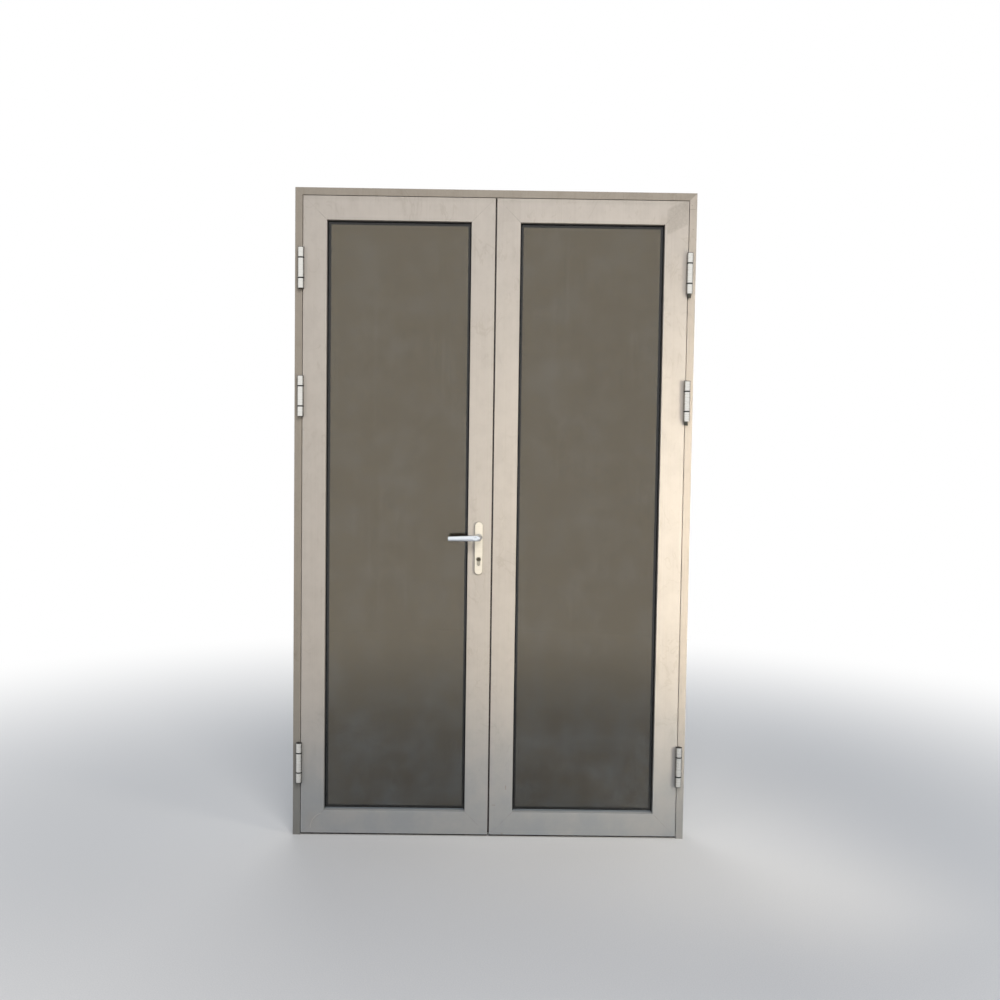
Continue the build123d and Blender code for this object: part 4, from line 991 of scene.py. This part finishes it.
class DOOR_OT_corners_and_seals(bpy.types.Operator):
    """Finish the corner cleats and the pile seals"""
    bl_idname = "door.corners_and_seals"
    bl_label = "Cleats and seals"

    def execute(self, context):
        cast = metal("Mill aluminium", "raw_aluminium", linear(186, 186, 186), 0.45)
        # The pile's brown-grey is partly its own colour and partly painted light, paler than a pile deep in
        # the meeting gap
        pile = dull("Pile seal", "pile", linear(72, 64, 61), 0.95)
        tree = tuft_tree()
        dress(cast, "frame_corner_cleats")
        for index, (leaf_name, side) in enumerate(zip(LEAVES, (1, -1))):
            body = leaf_name + "_leaf"
            dress(cast, leaf_name + "_corner_cleats")
            pile_seal(leaf_name + "_meeting_pile", body, (side, 0, 0), pile, tree, MEETING_SEED + index)
            pile_seal(leaf_name + "_bottom_pile", body, (0, 0, -1), pile, tree, BOTTOM_SEED + index)
        return {"FINISHED"}


# Studio

def shown_to_eye(graph):
    """One where the camera, a reflection or glass looks, and nought where light bounces."""
    path = graph.add("ShaderNodeLightPath").outputs
    seen = graph.math("MAXIMUM", path["Is Camera Ray"], path["Is Glossy Ray"])
    return graph.math("MAXIMUM", seen, path["Is Transmission Ray"])


def pale_floor():
    """A pale floor with the door's shadow on it, which fades to white all round."""
    reach = FLOOR_REACH
    corners = [(-reach, -reach, 0), (reach, -reach, 0), (reach, reach, 0), (-reach, reach, 0)]
    mesh = bpy.data.meshes.new("floor")
    mesh.from_pydata(corners, [], [(0, 1, 2, 3)])
    floor = bpy.data.objects.new("floor", mesh)
    bpy.context.scene.collection.objects.link(floor)
    material = bpy.data.materials.new("Pale floor")
    material.use_nodes = True
    graph = Graph(material.node_tree)
    principled = graph.tree.nodes["Principled BSDF"]
    seen = shown_to_eye(graph)
    grain = graph.noise(graph.place(), 260.0, 3.0)
    pale = graph.mix(graph.scaled(grain, 0.3, 0.7), linear(*FLOOR_GREY), linear(*FLOOR_PALE))
    graph.feed(principled.inputs["Base Color"], graph.mix(seen, linear(*FLOOR_BOUNCE), pale))
    principled.inputs["Roughness"].default_value = 0.9
    axes = graph.axes()
    away = graph.distance(axes["X"], axes["Y"])
    fade = graph.product(graph.scaled(away, FADE_START, FADE_END), seen)
    white = graph.add("ShaderNodeEmission")
    both = graph.made("ShaderNodeMixShader", {0: fade, 1: principled.outputs[0], 2: white.outputs[0]})
    graph.feed(graph.tree.nodes["Material Output"].inputs["Surface"], both.outputs[0])
    mesh.materials.append(material)


def soft_lamp(name, place, target, size, power, colour, spread):
    """A rectangular lamp that shows in no picture, pane or mirror."""
    light = bpy.data.lights.new(name, "AREA")
    light.shape = "RECTANGLE"
    light.size, light.size_y = size
    light.energy = power
    light.color = linear(*colour)
    light.spread = math.radians(spread)
    lamp = bpy.data.objects.new(name, light)
    bpy.context.scene.collection.objects.link(lamp)
    lamp.location = place
    lamp.rotation_euler = (Vector(target) - Vector(place)).to_track_quat("-Z", "Y").to_euler()
    lamp.visible_camera = False
    lamp.visible_transmission = False
    lamp.visible_glossy = False


def pale_world():
    """A white background over a soft blue sky light."""
    world = bpy.data.worlds.new("studio")
    bpy.context.scene.world = world
    world.use_nodes = True
    graph = Graph(world.node_tree)
    background = world.node_tree.nodes["Background"].inputs
    seen = shown_to_eye(graph)
    graph.feed(background["Color"], graph.mix(seen, linear(*SKY), (1.0, 1.0, 1.0)))
    graph.feed(background["Strength"], graph.scaled(seen, 0.0, 1.0, SKY_STRENGTH, 1.0))


def photo_camera():
    """A camera at the photograph's place, angle and framing."""
    data = bpy.data.cameras.new("camera")
    data.lens = LENS
    data.sensor_width = SENSOR_WIDTH
    data.shift_y = -CENTRE_ABOVE_MIDDLE / PHOTO_PIXELS
    camera = bpy.data.objects.new("camera", data)
    bpy.context.scene.collection.objects.link(camera)
    turned = Matrix.Rotation(-TURNED_RIGHT, 4, "Z") @ Matrix.Rotation(math.pi / 2 - LOOKS_DOWN, 4, "X")
    camera.matrix_world = Matrix.Translation(EYE) @ turned @ Matrix.Rotation(TILTED, 4, "Z")
    bpy.context.scene.camera = camera


class DOOR_OT_stage(bpy.types.Operator):
    """Set the floor, lights, background and camera"""
    bl_idname = "door.stage"
    bl_label = "Studio"

    def execute(self, context):
        pale_floor()
        pale_world()
        for name, settings in LAMPS.items():
            soft_lamp(name, *settings)
        photo_camera()
        context.scene.view_settings.view_transform = "Standard"
        return {"FINISHED"}


class DOOR_PT_panel(bpy.types.Panel):
    """The door's settings and steps"""
    bl_idname = "DOOR_PT_panel"
    bl_label = "Glass entrance door"
    bl_space_type = "VIEW_3D"
    bl_region_type = "UI"
    bl_category = "Door"

    def draw(self, context):
        for group in (context.scene.door_sizes, context.scene.door_colours):
            for name in group.bl_rna.properties.keys():
                if name not in ("rna_type", "name"):
                    self.layout.prop(group, name)
        for step in STEPS:
            self.layout.operator(step.bl_idname)


STEPS = (
    DOOR_OT_coating, DOOR_OT_glazing, DOOR_OT_hinges, DOOR_OT_handle, DOOR_OT_lock,
    DOOR_OT_corners_and_seals, DOOR_OT_stage,
)
CLASSES = (DoorSizes, DoorColours, *STEPS, DOOR_PT_panel)


def register():
    for item in CLASSES:
        bpy.utils.register_class(item)
    bpy.types.Scene.door_sizes = bpy.props.PointerProperty(type=DoorSizes)
    bpy.types.Scene.door_colours = bpy.props.PointerProperty(type=DoorColours)


def unregister():
    del bpy.types.Scene.door_colours
    del bpy.types.Scene.door_sizes
    for item in reversed(CLASSES):
        bpy.utils.unregister_class(item)


def main():
    register()
    bpy.ops.door.coating()
    bpy.ops.door.glazing()
    bpy.ops.door.hinges()
    bpy.ops.door.handle()
    bpy.ops.door.lock()
    bpy.ops.door.corners_and_seals()
    bpy.ops.door.stage()


if __name__ == "__main__":
    main()
